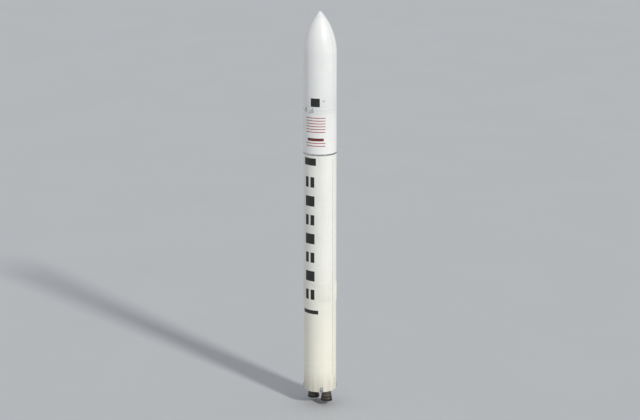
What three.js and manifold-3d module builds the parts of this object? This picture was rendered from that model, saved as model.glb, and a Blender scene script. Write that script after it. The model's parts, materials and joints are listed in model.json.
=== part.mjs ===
// Two-stage space rocket, a 1:2 scale model, in millimetres, +Z up.
// The origin is on the axis, in the plane where the base meets its launch mount.
import * as THREE from "three";
import { mergeVertices } from "three/addons/utils/BufferGeometryUtils.js";
import Module from "manifold-3d";

const wasm = await Module();
wasm.setup();

// Driving dimensions of the body
const bodyRadius = 875;
const skinThickness = 22;
const skinInner = bodyRadius - skinThickness;
const ringProud = 5; // how far the end rings stand out of the skin
const faceGap = 0.3; // between pieces that rest on each other
const runningGap = 6; // between pieces that move apart
const beyond = 10; // how far a cutter goes past what it cuts, or a root into what it joins

// Stations along the axis
const station = {
  nozzleExit: -650,
  base: 0,
  baseRingTop: 60,
  heatShieldTop: 25,
  engineGimbal: 940,
  thrustFrameBottom: 1180,
  aftBayTop: 1500,
  fuelTankTop: 5000,
  intertankTop: 6100,
  oxidizerTankTop: 12500,
  oxidizerDomeTop: 13080,
  forwardSkirtTop: 13110,
  stageJoint: 13150,
  interstageRingTop: 13200,
  motorNozzleExit: 13240,
  motorNozzlePivot: 13744,
  motorDomeBottom: 13780,
  motorBarrelBottom: 14050,
  motorSkirtBottom: 14830,
  motorBarrelTop: 14940,
  motorDomeTop: 15200,
  adapterBottom: 15400,
  adapterTop: 15550,
  payloadConeTop: 15900,
  payloadPlateTop: 15940,
  ogiveStart: 18400,
  noseTip: 20600,
};

// Stringers on the outside of the intertank, clear of the raceways
const stringer = { count: 60, footHalf: 20, topHalf: 9, proud: 12, endInset: 70 };

// What stands on the skin: widths are measured to each side of the middle
const holdDown = { angle: 45, count: 4, proud: 50, halfWidth: 80, height: 320, slope: 110 };
const raceway = { low: 900, high: 12950, proud: 45, endProud: 8, halfWidth: 65, slope: 150 };
const aftPlate = { proud: 28, halfWidth: 250, low: 350, high: 850, angle: 90 };
const upperPlate = { proud: 24, halfWidth: 170, low: 14650, high: 15010, angle: 90 };
const aftPanel = { proud: 7, halfWidth: 210, low: 250, high: 720 };
const interstagePanel = { proud: 7, halfWidth: 190, low: 13550, high: 14100, angle: 25 };

// Ring frames on the inside of the interstage
const frames = { stations: [13900, 14600], depth: 30, tall: 24 };

// Main engines, each hung from its own gimbal. Profiles are pairs of radius and height above
// the throat.
const engine = {
  offset: 450, // from the rocket's axis, along X
  throatRadius: 62,
  exitRadius: 305,
  throatStation: 430,
  exitStation: station.nozzleExit,
  startAngle: 30,
  exitAngle: 8,
  wall: 10,
  steps: 7,
  apertureRadius: 345, // of the hole in the heat shield
  flange: { radius: 100, height: 24 },
  bands: [
    { above: 0, tall: 16, proud: 7 },
    { above: 160, tall: 12, proud: 4 },
    { above: 330, tall: 20, proud: 7 },
    { above: 520, tall: 12, proud: 4 },
    { above: 700, tall: 12, proud: 4 },
  ],
  chamber: [
    [0, 0], [100, 0], [104, 20], [78, 30], [78, 50], [122, 130], [126, 165],
    [126, 240], [150, 246], [150, 270], [120, 280], [80, 318], [0, 330],
  ],
  pump: [
    [0, 20], [40, 20], [40, 75], [82, 95], [82, 155], [58, 170], [58, 195],
    [80, 205], [80, 255], [50, 275], [50, 310], [0, 310],
  ],
  pumpOffset: 262,
  ducts: [
    { halfWidth: 28, low: 105, high: 160 },
    { halfWidth: 24, low: 260, high: 298 },
  ],
  ductRoot: 60,
  yoke: { halfX: 90, halfY: 160, low: 745, high: 780 },
};

// Gimbal: a block with two crossed pins, each end of a pin in the bore of an ear
const gimbal = {
  block: 55,
  pinRadius: 20,
  boreRadius: 21.5,
  pinReach: 101,
  earFrom: 75,
  earTo: 105,
  earHalf: 60,
};

// Upper-stage motor: its nozzle hangs in a ring with crossed pins
const motor = {
  radius: 525,
  neckRadius: 105,
  neckAbove: 18, // the pivot
  neckBelow: 44,
  domeSteps: 5,
  bell: {
    throatRadius: 75,
    exitRadius: 300,
    exitStation: station.motorNozzleExit,
    startAngle: 27,
    exitAngle: 11,
    wall: 12,
    steps: 6,
    bands: [{ above: 0, tall: 14, proud: 8 }],
  },
};
const motorRing = {
  inner: 125,
  outer: 160,
  halfHeight: 16,
  pinRadius: 8,
  boreRadius: 9.2,
  neckPinReach: 150,
  casePinReach: 192,
  earFrom: 172,
  earTo: 196,
  earHalf: 28,
};
const motorAdapter = { wall: 14, rimWidth: 60, rimHeight: 60, throatRise: 24 };

// Payload support and fairing
const payload = { deckThickness: 45, footRadius: 520, footWidth: 45, footHeight: 18, topRadius: 300 };
const payloadWall = 20;
const payloadPlateRadius = 312;
const fairing = {
  thickness: 26,
  tipRadius: 95,
  tipSteps: 3,
  outerSteps: 7,
  innerSteps: 6,
  ribDepth: 26, // of the frames inside, up the split and round the base
  ribWidth: 40,
};
const hinge = {
  spread: 220, // of a half's two hinges, to each side of its middle
  offset: 40, // of the hinge line from the skin
  height: station.adapterTop + runningGap,
  armHalf: 10,
  earGap: 4,
  earThickness: 12,
  knuckleRadius: 22,
  knuckleSteps: 8,
  pinRadius: 8,
  boreRadius: 9.2,
  baseLow: station.adapterBottom + 20,
  baseSlope: 60,
  armFoot: 30,
  armShoulder: 40,
  armTop: 110,
};
const hingeCentre = bodyRadius + hinge.offset;

// Faces round a circle, by how large the circle is
const facesLarge = 48;
const facesMedium = 28;
const facesSmall = 16;

const sides = [-1, 1];
const radians = THREE.MathUtils.degToRad;
const at = (x, y) => new THREE.Vector2(x, y);
const stepsFrom = (count) => Array.from({ length: count + 1 }, (_, step) => step / count);

// A closed three.js geometry as a solid that can be joined and cut
function solidOf(geometry) {
  geometry.deleteAttribute("normal");
  geometry.deleteAttribute("uv");
  const merged = mergeVertices(geometry, 1e-3);
  return new wasm.Manifold(
    new wasm.Mesh({
      numProp: 3,
      vertProperties: merged.attributes.position.array,
      triVerts: new Uint32Array(merged.index.array),
    }),
  );
}

function geometryOf(solid) {
  const mesh = solid.getMesh();
  return new THREE.BufferGeometry()
    .setAttribute("position", new THREE.BufferAttribute(mesh.vertProperties, 3))
    .setIndex(new THREE.BufferAttribute(mesh.triVerts, 1));
}

// Turns a profile of [radius, height] pairs round the Z axis. It runs up the outside and down
// the inside, and starts and ends on the axis or closes on itself.
function turned(profile, faces = facesLarge) {
  const points = profile.map(([radius, height]) => at(radius, height));
  return solidOf(new THREE.LatheGeometry(points, faces).rotateX(Math.PI / 2));
}

const disc = (radius, low, high, faces) =>
  turned([[0, low], [radius, low], [radius, high], [0, high]], faces);

const tube = (outer, inner, low, high, faces) =>
  turned([[inner, low], [outer, low], [outer, high], [inner, high], [inner, low]], faces);

const raised = (profile, height) => profile.map(([radius, rise]) => [radius, rise + height]);

// A box between two opposite corners, given in any order
function block(from, to) {
  const size = to.map((value, axis) => Math.abs(value - from[axis]));
  const middle = to.map((value, axis) => (value + from[axis]) / 2);
  return solidOf(new THREE.BoxGeometry(...size).translate(...middle));
}

// An outline of [x, z] pairs, extruded by half the thickness to each side of a plane of one y
function plate(outline, thickness, y = 0) {
  const shape = new THREE.Shape(outline.map(([x, z]) => at(x, z)));
  return solidOf(
    new THREE.ExtrudeGeometry(shape, { depth: thickness, bevelEnabled: false })
      .rotateX(Math.PI / 2)
      .translate(0, y + thickness / 2, 0),
  );
}

// A round pin or bore along X or Y, reaching as far to each side of the Z axis
function crossPin(axis, radius, reach, height) {
  const pin = new THREE.CylinderGeometry(radius, radius, 2 * reach, facesSmall);
  if (axis === "x") pin.rotateZ(Math.PI / 2);
  return solidOf(pin.translate(0, 0, height));
}

const joined = (...solids) => solids.reduce((whole, piece) => whole.add(piece));
const without = (solid, ...cutters) => cutters.reduce((rest, cutter) => rest.subtract(cutter), solid);
const turnedBy = (solid, degrees) => solid.rotate([0, 0, degrees]);
const moved = (solid, x, y, z = 0) => solid.translate([x, y, z]);

// Cutters for pieces that sit on the skin, or on its end rings
const bodyCutter = (low, high, proud = 0) =>
  disc(bodyRadius + proud + faceGap, low - beyond, high + beyond);

// The bell's inner wall as [radius, height] pairs, from throat to exit: a curve that leaves the
// throat at one angle and reaches the exit at another
function bellCurve(bell) {
  const length = bell.throatStation - bell.exitStation;
  const startSlope = Math.tan(radians(bell.startAngle));
  const exitSlope = Math.tan(radians(bell.exitAngle));
  const bendDepth =
    (bell.exitRadius - exitSlope * length - bell.throatRadius) / (startSlope - exitSlope);
  const curve = new THREE.QuadraticBezierCurve(
    at(bell.throatRadius, bell.throatStation),
    at(bell.throatRadius + startSlope * bendDepth, bell.throatStation - bendDepth),
    at(bell.exitRadius, bell.exitStation),
  );
  return curve.getPoints(bell.steps).map((point) => [point.x, point.y]);
}

// A bell, with stiffening bands standing out of its wall
function bellNozzle(bell) {
  const inner = bellCurve(bell);
  const outer = inner.map(([radius, height]) => [radius + bell.wall, height]).reverse();
  const radiusAt = (height) => {
    const above = outer.findIndex(([, z]) => z > height);
    const [[r0, z0], [r1, z1]] = [outer[above - 1], outer[above]];
    return r0 + ((r1 - r0) * (height - z0)) / (z1 - z0);
  };
  const bands = bell.bands.map(({ above, tall, proud }) => {
    const low = bell.exitStation + above;
    return { low, high: low + tall, proud };
  });
  const bandPoints = bands.flatMap(({ low, high, proud }) => [
    [radiusAt(low), low],
    [radiusAt(low) + proud, low],
    [radiusAt(low) + proud, high],
    [radiusAt(high), high],
  ]);
  const inBand = ([, height]) => bands.some(({ low, high }) => height >= low && height <= high);
  const outside = [...outer.filter((point) => !inBand(point)), ...bandPoints];
  outside.sort((p, q) => p[1] - q[1]);
  return turned([...outside, ...inner, outside[0]], facesMedium);
}

// A quarter of an ellipse as [radius, height] pairs, from its rim to the axis
const domeCurve = (radius, rim, crown, steps) =>
  stepsFrom(steps).map((share) => {
    const angle = (share * Math.PI) / 2;
    return [share === 1 ? 0 : radius * Math.cos(angle), rim + (crown - rim) * Math.sin(angle)];
  });

// Materials, by the finish that each piece has
const finishes = {
  whitePaint: { color: 0xf4f5ee, roughness: 0.45, metalness: 0.1 },
  whiteComposite: { color: 0xf1f3f0, roughness: 0.5, metalness: 0 },
  bareMetal: { color: 0xa9adb0, roughness: 0.4, metalness: 0.8 },
  frameMetal: { color: 0x7d8078, roughness: 0.55, metalness: 0.6 },
  heatShield: { color: 0x3c3d3b, roughness: 0.85, metalness: 0.1 },
  engineMetal: { color: 0x8b8780, roughness: 0.4, metalness: 0.85 },
  nozzleMetal: { color: 0x5a5653, roughness: 0.45, metalness: 0.8 },
  darkComposite: { color: 0x2b2c2e, roughness: 0.6, metalness: 0 },
};
const materials = Object.fromEntries(
  Object.entries(finishes).map(([name, finish]) => [name, new THREE.MeshStandardMaterial(finish)]),
);

const rocket = new THREE.Group();

function addPiece(name, solid, finish, parent = rocket) {
  const mesh = new THREE.Mesh(geometryOf(solid), materials[finish]);
  mesh.name = name;
  parent.add(mesh);
}

// First stage: the stringers as one star-shaped prism, whose valleys lie inside the skin
function stringers(low, high) {
  const outline = [];
  const turn = (width) => width / bodyRadius;
  for (let index = 0; index < stringer.count; index += 1) {
    const middle = ((index + 0.5) / stringer.count) * 2 * Math.PI;
    const fromRaceway = Math.abs(Math.sin(middle)) * bodyRadius;
    const covered = fromRaceway < raceway.halfWidth + stringer.footHalf;
    const profile = [
      [-stringer.footHalf, -ringProud],
      [-stringer.topHalf, stringer.proud],
      [stringer.topHalf, stringer.proud],
      [stringer.footHalf, -ringProud],
    ];
    profile.forEach(([across, proud]) => {
      const radius = bodyRadius + (covered ? -ringProud : proud);
      const angle = middle + turn(across);
      outline.push(at(radius * Math.cos(angle), radius * Math.sin(angle)));
    });
  }
  const prism = new THREE.ExtrudeGeometry(new THREE.Shape(outline), {
    depth: high - low,
    bevelEnabled: false,
  });
  return solidOf(prism.translate(0, 0, low));
}

// First stage: skins and tanks
function addFirstStageBody() {
  const ringRadius = bodyRadius + ringProud;
  const aftBay = joined(
    tube(bodyRadius, skinInner, station.base, station.aftBayTop - faceGap),
    tube(ringRadius, skinInner, station.base, station.baseRingTop),
  );
  addPiece("aft_bay", aftBay, "whitePaint");
  const fuelTank = disc(bodyRadius, station.aftBayTop, station.fuelTankTop - faceGap);
  addPiece("fuel_tank", fuelTank, "whitePaint");

  const endRing = 45;
  const low = station.fuelTankTop;
  const high = station.intertankTop - faceGap;
  const intertank = joined(
    disc(bodyRadius, low, high),
    disc(ringRadius, low, low + endRing),
    disc(ringRadius, high - endRing, high),
    stringers(low + stringer.endInset, high - stringer.endInset),
  );
  addPiece("intertank", intertank, "whitePaint");

  const domeClearance = 12;
  const domeSteps = 6;
  const oxidizerTank = turned([
    [0, station.intertankTop],
    [bodyRadius, station.intertankTop],
    [bodyRadius, station.oxidizerTankTop],
    ...domeCurve(skinInner - domeClearance, station.oxidizerTankTop, station.oxidizerDomeTop, domeSteps),
  ]);
  addPiece("oxidizer_tank", oxidizerTank, "whitePaint");
  const skirtTop = station.forwardSkirtTop;
  const skirt = tube(bodyRadius, skinInner, station.oxidizerTankTop + faceGap, skirtTop - faceGap);
  addPiece("forward_skirt", skirt, "whitePaint");
  const ring = tube(ringRadius, skinInner - ringProud, skirtTop, station.stageJoint);
  addPiece("stage_ring", ring, "bareMetal");
}

// First stage: base, with a round aperture for each engine, and the frame that carries them
function addBase() {
  const radius = skinInner - faceGap;
  const apertures = sides.map((side) =>
    moved(
      disc(engine.apertureRadius, station.base - beyond, station.heatShieldTop + beyond, facesMedium),
      side * engine.offset,
      0,
    ),
  );
  const shield = without(disc(radius, station.base, station.heatShieldTop), ...apertures);
  addPiece("base_heat_shield", shield, "heatShield");

  const beamHalfWidth = 160;
  const pivot = station.engineGimbal;
  const beam = block(
    [-bodyRadius, -beamHalfWidth, station.thrustFrameBottom],
    [bodyRadius, beamHalfWidth, station.aftBayTop - faceGap],
  ).intersect(disc(radius, station.base, station.aftBayTop));
  const ears = sides.flatMap((side) =>
    sides.map((ear) =>
      moved(
        block(
          [ear * gimbal.earFrom, -gimbal.earHalf, pivot - gimbal.earHalf],
          [ear * gimbal.earTo, gimbal.earHalf, station.thrustFrameBottom + beyond],
        ),
        side * engine.offset,
        0,
      ),
    ),
  );
  const bore = crossPin("x", gimbal.boreRadius, bodyRadius, pivot);
  addPiece("thrust_frame", without(joined(beam, ...ears), bore), "frameMetal");
}

function addHoldDownBracket(index) {
  const root = bodyRadius - 60;
  const outer = bodyRadius + holdDown.proud;
  const low = station.base;
  const outline = [
    [root, low],
    [outer, low],
    [outer, low + holdDown.height - holdDown.slope],
    [root, low + holdDown.height + 20],
  ];
  const cutter = bodyCutter(low, low + holdDown.height + 50, ringProud);
  const bracket = without(plate(outline, 2 * holdDown.halfWidth), cutter);
  const angle = holdDown.angle + (360 / holdDown.count) * index;
  addPiece(`hold_down_bracket_${index + 1}`, turnedBy(bracket, angle), "bareMetal");
}

function addRaceway(name, degrees) {
  const root = bodyRadius - 30;
  const outer = bodyRadius + raceway.proud;
  const ends = bodyRadius + raceway.endProud;
  const outline = [
    [root, raceway.low],
    [ends, raceway.low],
    [outer, raceway.low + raceway.slope],
    [outer, raceway.high - raceway.slope],
    [ends, raceway.high],
    [root, raceway.high],
  ];
  const cutter = bodyCutter(raceway.low, raceway.high, ringProud);
  const cover = without(plate(outline, 2 * raceway.halfWidth), cutter);
  addPiece(name, turnedBy(cover, degrees), "whitePaint");
}

// A curved cover, bolted to the skin, centred on an angle
function coverPanel({ halfWidth, low, high, proud }, degrees) {
  const ring = tube(bodyRadius + proud, bodyRadius + faceGap, low, high);
  const window = block(
    [0, -halfWidth, low - beyond],
    [bodyRadius + proud + beyond, halfWidth, high + beyond],
  );
  return ring.intersect(turnedBy(window, degrees));
}

// A flat-faced connector plate on the skin
function connectorPlate({ halfWidth, low, high, proud, angle }) {
  const box = block([bodyRadius - 60, -halfWidth, low], [bodyRadius + proud, halfWidth, high]);
  return without(turnedBy(box, angle), bodyCutter(low, high));
}

// First stage: what stands on the skin
function addFirstStageFittings() {
  for (let index = 0; index < holdDown.count; index += 1) addHoldDownBracket(index);
  addPiece("aft_umbilical_plate", connectorPlate(aftPlate), "bareMetal");
  [["left", 180], ["right", 0]].forEach(([side, degrees]) => {
    addRaceway(`raceway_${side}`, degrees);
    addPiece(`aft_bay_access_panel_${side}`, coverPanel(aftPanel, degrees), "whitePaint");
  });
}

// One main engine: gimbal block, head with its pumps, and bell
function addEngine(number, side) {
  const mount = new THREE.Group();
  mount.position.set(side * engine.offset, 0, 0);
  rocket.add(mount);
  const pivot = station.engineGimbal;
  const half = gimbal.block;
  const cross = joined(
    block([-half, -half, pivot - half], [half, half, pivot + half]),
    crossPin("x", gimbal.pinRadius, gimbal.pinReach, pivot),
    crossPin("y", gimbal.pinRadius, gimbal.pinReach, pivot),
  );
  addPiece(`engine_${number}_gimbal`, cross, "engineMetal", mount);

  const throat = engine.throatStation;
  const { yoke } = engine;
  const ears = sides.map((ear) =>
    block(
      [-gimbal.earHalf, ear * gimbal.earFrom, yoke.high - beyond],
      [gimbal.earHalf, ear * gimbal.earTo, pivot + gimbal.earHalf],
    ),
  );
  const pumps = sides.map((ear) =>
    moved(turned(raised(engine.pump, throat), facesSmall), 0, ear * engine.pumpOffset),
  );
  const ducts = sides.flatMap((ear) =>
    engine.ducts.map(({ halfWidth, low, high }) =>
      block(
        [-halfWidth, ear * engine.ductRoot, throat + low],
        [halfWidth, ear * engine.pumpOffset, throat + high],
      ),
    ),
  );
  const head = joined(
    turned(raised(engine.chamber, throat + faceGap), facesMedium),
    block([-yoke.halfX, -yoke.halfY, yoke.low], [yoke.halfX, yoke.halfY, yoke.high]),
    ...ears,
    ...pumps,
    ...ducts,
  );
  const bore = crossPin("y", gimbal.boreRadius, gimbal.earTo + beyond, pivot);
  addPiece(`engine_${number}_head`, without(head, bore), "engineMetal", mount);

  const { radius, height } = engine.flange;
  const flange = tube(radius, engine.throatRadius + 2, throat - height, throat, facesMedium);
  addPiece(`engine_${number}_nozzle`, joined(bellNozzle(engine), flange), "nozzleMetal", mount);
}

// Interstage: a hollow shell with its frames and lower ring, an access panel and a connector plate
function addInterstage() {
  const bottom = station.stageJoint + runningGap;
  const ringTop = station.interstageRingTop;
  const ring = tube(bodyRadius + ringProud, skinInner - ringProud, bottom, ringTop - faceGap);
  addPiece("interstage_ring", ring, "bareMetal");
  const inner = frames.stations.map((low) =>
    tube(skinInner + beyond, skinInner - frames.depth, low, low + frames.tall),
  );
  const shell = tube(bodyRadius, skinInner, ringTop, station.adapterBottom - runningGap);
  addPiece("interstage", joined(shell, ...inner), "whiteComposite");
  const panel = coverPanel(interstagePanel, interstagePanel.angle);
  addPiece("interstage_access_panel", panel, "whiteComposite");
  addPiece("upper_umbilical_plate", connectorPlate(upperPlate), "bareMetal");
}

// Upper-stage motor: case, nozzle ring and nozzle
function addMotor() {
  const bottomDome = domeCurve(
    motor.radius,
    station.motorBarrelBottom,
    station.motorDomeBottom,
    motor.domeSteps,
  );
  const topDome = domeCurve(motor.radius, station.motorBarrelTop, station.motorDomeTop, motor.domeSteps);
  const shell = turned([...bottomDome.reverse(), ...topDome], facesMedium);
  const pivot = station.motorNozzlePivot;
  const ears = sides.map((side) =>
    block(
      [side * motorRing.earFrom, -motorRing.earHalf, pivot - motorRing.earHalf],
      [side * motorRing.earTo, motorRing.earHalf, station.motorBarrelBottom],
    ),
  );
  const caseBore = crossPin("x", motorRing.boreRadius, motorRing.earTo + beyond, pivot);
  addPiece("motor_case", without(joined(shell, ...ears), caseBore), "darkComposite");

  const low = pivot - motorRing.halfHeight;
  const high = pivot + motorRing.halfHeight;
  const pinFrom = (axis, from, to) =>
    without(
      crossPin(axis, motorRing.pinRadius, to, pivot),
      disc(from, low - beyond, high + beyond, facesMedium),
    );
  const ring = without(
    tube(motorRing.outer, motorRing.inner, low, high, facesMedium),
    crossPin("y", motorRing.boreRadius, motorRing.outer + beyond, pivot),
  );
  const ringPins = pinFrom("x", motorRing.inner + beyond, motorRing.casePinReach);
  addPiece("motor_nozzle_ring", joined(ring, ringPins), "bareMetal");

  const neckBottom = pivot - motor.neckBelow;
  const neck = tube(
    motor.neckRadius,
    motor.bell.throatRadius - beyond,
    neckBottom - beyond,
    pivot + motor.neckAbove,
    facesMedium,
  );
  const nozzle = joined(
    bellNozzle({ ...motor.bell, throatStation: neckBottom }),
    neck,
    pinFrom("y", motor.neckRadius - beyond, motorRing.neckPinReach),
  );
  addPiece("motor_nozzle", nozzle, "darkComposite");
}

// Upper stage above the motor: the cone that joins the two, the skin ring and the payload support
function addUpperStageStructure() {
  const inner = motor.radius + faceGap;
  const outer = inner + motorAdapter.wall;
  const rim = skinInner - beyond;
  const rimInner = rim - motorAdapter.rimWidth;
  const top = station.adapterBottom - faceGap;
  const cone = turned(
    [
      [inner, station.motorSkirtBottom],
      [outer, station.motorSkirtBottom],
      [outer, station.motorBarrelTop],
      [rim, top - motorAdapter.rimHeight],
      [rim, top],
      [rimInner, top],
      [rimInner, top - motorAdapter.rimHeight + 20],
      [inner, station.motorBarrelTop + motorAdapter.throatRise],
      [inner, station.motorSkirtBottom],
    ],
    facesMedium,
  );
  addPiece("motor_adapter", cone, "frameMetal");
  const deckRadius = rim - 45;
  const adapterTop = station.adapterTop;
  const skinRing = tube(bodyRadius, deckRadius, station.adapterBottom, adapterTop);
  addPiece("fairing_adapter_ring", skinRing, "whiteComposite");
  const deck = disc(deckRadius - faceGap, adapterTop - payload.deckThickness, adapterTop);
  addPiece("payload_deck", deck, "frameMetal");

  const bottom = adapterTop + faceGap;
  const plateBottom = station.payloadConeTop;
  const footInner = payload.footRadius - payload.footWidth;
  const support = turned(
    [
      [footInner, bottom],
      [payload.footRadius, bottom],
      [payload.footRadius, bottom + payload.footHeight],
      [footInner + payloadWall, bottom + payload.footHeight],
      [payload.topRadius, plateBottom - faceGap],
      [payload.topRadius - payloadWall, plateBottom - faceGap],
      [footInner, bottom + payload.footHeight],
      [footInner, bottom],
    ],
    facesMedium,
  );
  addPiece("payload_cone", support, "darkComposite");
  const plateTop = station.payloadPlateTop;
  addPiece("payload_plate", disc(payloadPlateRadius, plateBottom, plateTop, facesMedium), "bareMetal");
}

// Fairing: the outline of a tangent ogive with a round tip
function ogiveProfile(baseRadius, tip, tipRadius, steps) {
  const length = tip - station.ogiveStart;
  const arcRadius = (baseRadius ** 2 + length ** 2) / (2 * baseRadius);
  const tipCentre = Math.sqrt((arcRadius - tipRadius) ** 2 - (arcRadius - baseRadius) ** 2);
  const stretch = length / (tipCentre + tipRadius);
  const meet = (tipRadius * (arcRadius - baseRadius)) / (arcRadius - tipRadius);
  const meetHeight = tipCentre + Math.sqrt(tipRadius ** 2 - meet ** 2);
  const side = stepsFrom(steps).map((share) => {
    const rise = meetHeight * share;
    const radius = Math.sqrt(arcRadius ** 2 - rise ** 2) + baseRadius - arcRadius;
    return [radius, station.ogiveStart + rise * stretch];
  });
  const startAngle = Math.asin(meet / tipRadius);
  const cap = stepsFrom(fairing.tipSteps).slice(1).map((share) => {
    const angle = startAngle * (1 - share);
    const rise = tipCentre + tipRadius * Math.cos(angle);
    return [share === 1 ? 0 : tipRadius * Math.sin(angle), station.ogiveStart + rise * stretch];
  });
  return [...side, ...cap];
}

// The whole fairing as one hollow body with a wall of the given thickness
function fairingShell(thickness) {
  const bottom = station.adapterTop + runningGap;
  const inner = bodyRadius - thickness;
  const outside = ogiveProfile(bodyRadius, station.noseTip, fairing.tipRadius, fairing.outerSteps);
  const insideTip = station.noseTip - 3 * thickness;
  const insideTipRadius = fairing.tipRadius - 0.75 * thickness;
  const inside = ogiveProfile(inner, insideTip, insideTipRadius, fairing.innerSteps);
  const whole = turned([[0, bottom], [bodyRadius, bottom], ...outside]);
  return without(whole, turned([[0, bottom - beyond], [inner, bottom - beyond], ...inside]));
}

// Half of a knuckle's outline round the hinge line, from an angle on
const knuckleArc = (startDegrees) =>
  stepsFrom(hinge.knuckleSteps).map((share) => {
    const angle = radians(startDegrees + 180 * share);
    return [
      hingeCentre + hinge.knuckleRadius * Math.cos(angle),
      hinge.height + hinge.knuckleRadius * Math.sin(angle),
    ];
  });

const hingePin = (radius, reach, offset) =>
  moved(crossPin("y", radius, reach, hinge.height), hingeCentre, offset);

// On the adapter ring: a foot with two ears and the pin between them
function hingeBase(offset) {
  const root = bodyRadius - 60;
  const outer = hingeCentre + hinge.knuckleRadius;
  const inner = hingeCentre - hinge.knuckleRadius;
  const low = hinge.baseLow;
  const high = hinge.height - hinge.knuckleRadius - runningGap;
  const halfWidth = hinge.armHalf + hinge.earGap + hinge.earThickness;
  const footOutline = [
    [root, low],
    [bodyRadius - beyond, low],
    [outer, low + hinge.baseSlope],
    [outer, high],
    [root, high],
  ];
  const foot = plate(footOutline, 2 * halfWidth, offset);
  const earOutline = [[inner, high - beyond], [outer, high - beyond], ...knuckleArc(0)];
  const ears = sides.map((side) => {
    const middle = side * (halfWidth - hinge.earThickness / 2);
    return plate(earOutline, hinge.earThickness, offset + middle);
  });
  const base = joined(foot, ...ears, hingePin(hinge.pinRadius, halfWidth - 1, offset));
  return without(base, bodyCutter(low, hinge.height + hinge.knuckleRadius));
}

// On the fairing half: an arm that turns on the pin
function hingeArm(offset) {
  const root = bodyRadius - 60;
  const top = hinge.height + hinge.armTop;
  const outline = [
    [root, hinge.height + hinge.armFoot],
    [hingeCentre - hinge.knuckleRadius, hinge.height + hinge.armFoot],
    ...knuckleArc(180),
    [hingeCentre + hinge.knuckleRadius, hinge.height + hinge.armShoulder],
    [bodyRadius - 5, top],
    [root, top],
  ];
  const bore = hingePin(hinge.boreRadius, hinge.armHalf + beyond, offset);
  const arm = plate(outline, 2 * hinge.armHalf, offset);
  return without(arm, bore, bodyCutter(hinge.height - hinge.knuckleRadius, top));
}

// One half, with the frames inside it: up both sides of the split and round the base
function fairingHalf(degrees) {
  const reach = bodyRadius + beyond;
  const bottom = station.adapterTop + runningGap;
  const slab = (from, to, low, high) => turnedBy(block([from, -reach, low], [to, reach, high]), degrees);
  const split = runningGap / 2;
  const top = station.noseTip + beyond;
  const deep = fairingShell(fairing.thickness + fairing.ribDepth);
  return joined(
    fairingShell(fairing.thickness).intersect(slab(split, reach, bottom - beyond, top)),
    deep.intersect(slab(split, split + fairing.ribWidth, bottom - beyond, top)),
    deep.intersect(slab(split, reach, bottom - beyond, bottom + fairing.ribWidth)),
  );
}

function addFairing() {
  [["front", -90], ["back", 90]].forEach(([side, degrees]) => {
    addPiece(`fairing_${side}`, fairingHalf(degrees), "whiteComposite");
    [["a", -hinge.spread], ["b", hinge.spread]].forEach(([letter, offset]) => {
      addPiece(`fairing_hinge_base_${side}_${letter}`, turnedBy(hingeBase(offset), degrees), "bareMetal");
      addPiece(`fairing_hinge_arm_${side}_${letter}`, turnedBy(hingeArm(offset), degrees), "bareMetal");
    });
  });
}

addFirstStageBody();
addBase();
addFirstStageFittings();
addEngine(1, -1);
addEngine(2, 1);
addInterstage();
addMotor();
addUpperStageStructure();
addFairing();

export default rocket;
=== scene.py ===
import json
from math import asin, atan2, copysign, cos, dist, hypot, pi, radians, sin, sqrt, tan, tau

import bmesh
import bpy
from mathutils import Matrix, Vector


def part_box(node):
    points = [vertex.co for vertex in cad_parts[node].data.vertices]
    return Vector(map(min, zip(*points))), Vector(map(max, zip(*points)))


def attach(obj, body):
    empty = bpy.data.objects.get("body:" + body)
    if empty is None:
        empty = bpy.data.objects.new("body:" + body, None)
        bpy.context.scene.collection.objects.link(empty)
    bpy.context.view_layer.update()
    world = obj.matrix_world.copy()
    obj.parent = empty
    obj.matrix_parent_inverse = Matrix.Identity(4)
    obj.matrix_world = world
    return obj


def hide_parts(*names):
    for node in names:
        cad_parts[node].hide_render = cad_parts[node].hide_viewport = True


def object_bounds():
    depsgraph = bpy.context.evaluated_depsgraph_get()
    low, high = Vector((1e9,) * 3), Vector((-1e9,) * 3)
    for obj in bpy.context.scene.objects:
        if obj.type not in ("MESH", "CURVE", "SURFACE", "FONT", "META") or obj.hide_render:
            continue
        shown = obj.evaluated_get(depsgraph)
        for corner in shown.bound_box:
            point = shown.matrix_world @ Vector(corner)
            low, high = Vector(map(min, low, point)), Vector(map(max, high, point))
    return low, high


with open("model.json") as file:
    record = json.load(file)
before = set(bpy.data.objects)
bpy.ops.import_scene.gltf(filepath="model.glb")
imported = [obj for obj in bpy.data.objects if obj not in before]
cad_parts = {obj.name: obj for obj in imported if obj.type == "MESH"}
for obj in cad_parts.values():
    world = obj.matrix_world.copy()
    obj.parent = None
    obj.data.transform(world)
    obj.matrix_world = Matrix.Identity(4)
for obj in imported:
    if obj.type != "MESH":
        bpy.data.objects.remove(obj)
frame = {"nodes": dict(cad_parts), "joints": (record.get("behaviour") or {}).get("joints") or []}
cadLow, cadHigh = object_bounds()
scene = bpy.context.scene
print("frame loaded")


def span(node):  # lowest and highest station of a CAD node
    low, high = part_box(node)
    return low.z, high.z


def widest(node):  # how far a CAD node stands from the axis, along X
    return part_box(node)[1].x


def jointPlace(name):
    return next(joint["pos_m"] for joint in frame["joints"] if joint["name"] == name)


bodyRadius = widest("fuel_tank")
skin = 0.022  # its thickness
roundSteps = 144  # faces round the body
hairline = 0.0006  # keeps a skin clear of what lies on it
sunk = 0.0004  # how far fasteners sit in what they hold
bed = 0.001  # how far beads and straps sit in the skin under them
tiny = 1e-7


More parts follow.
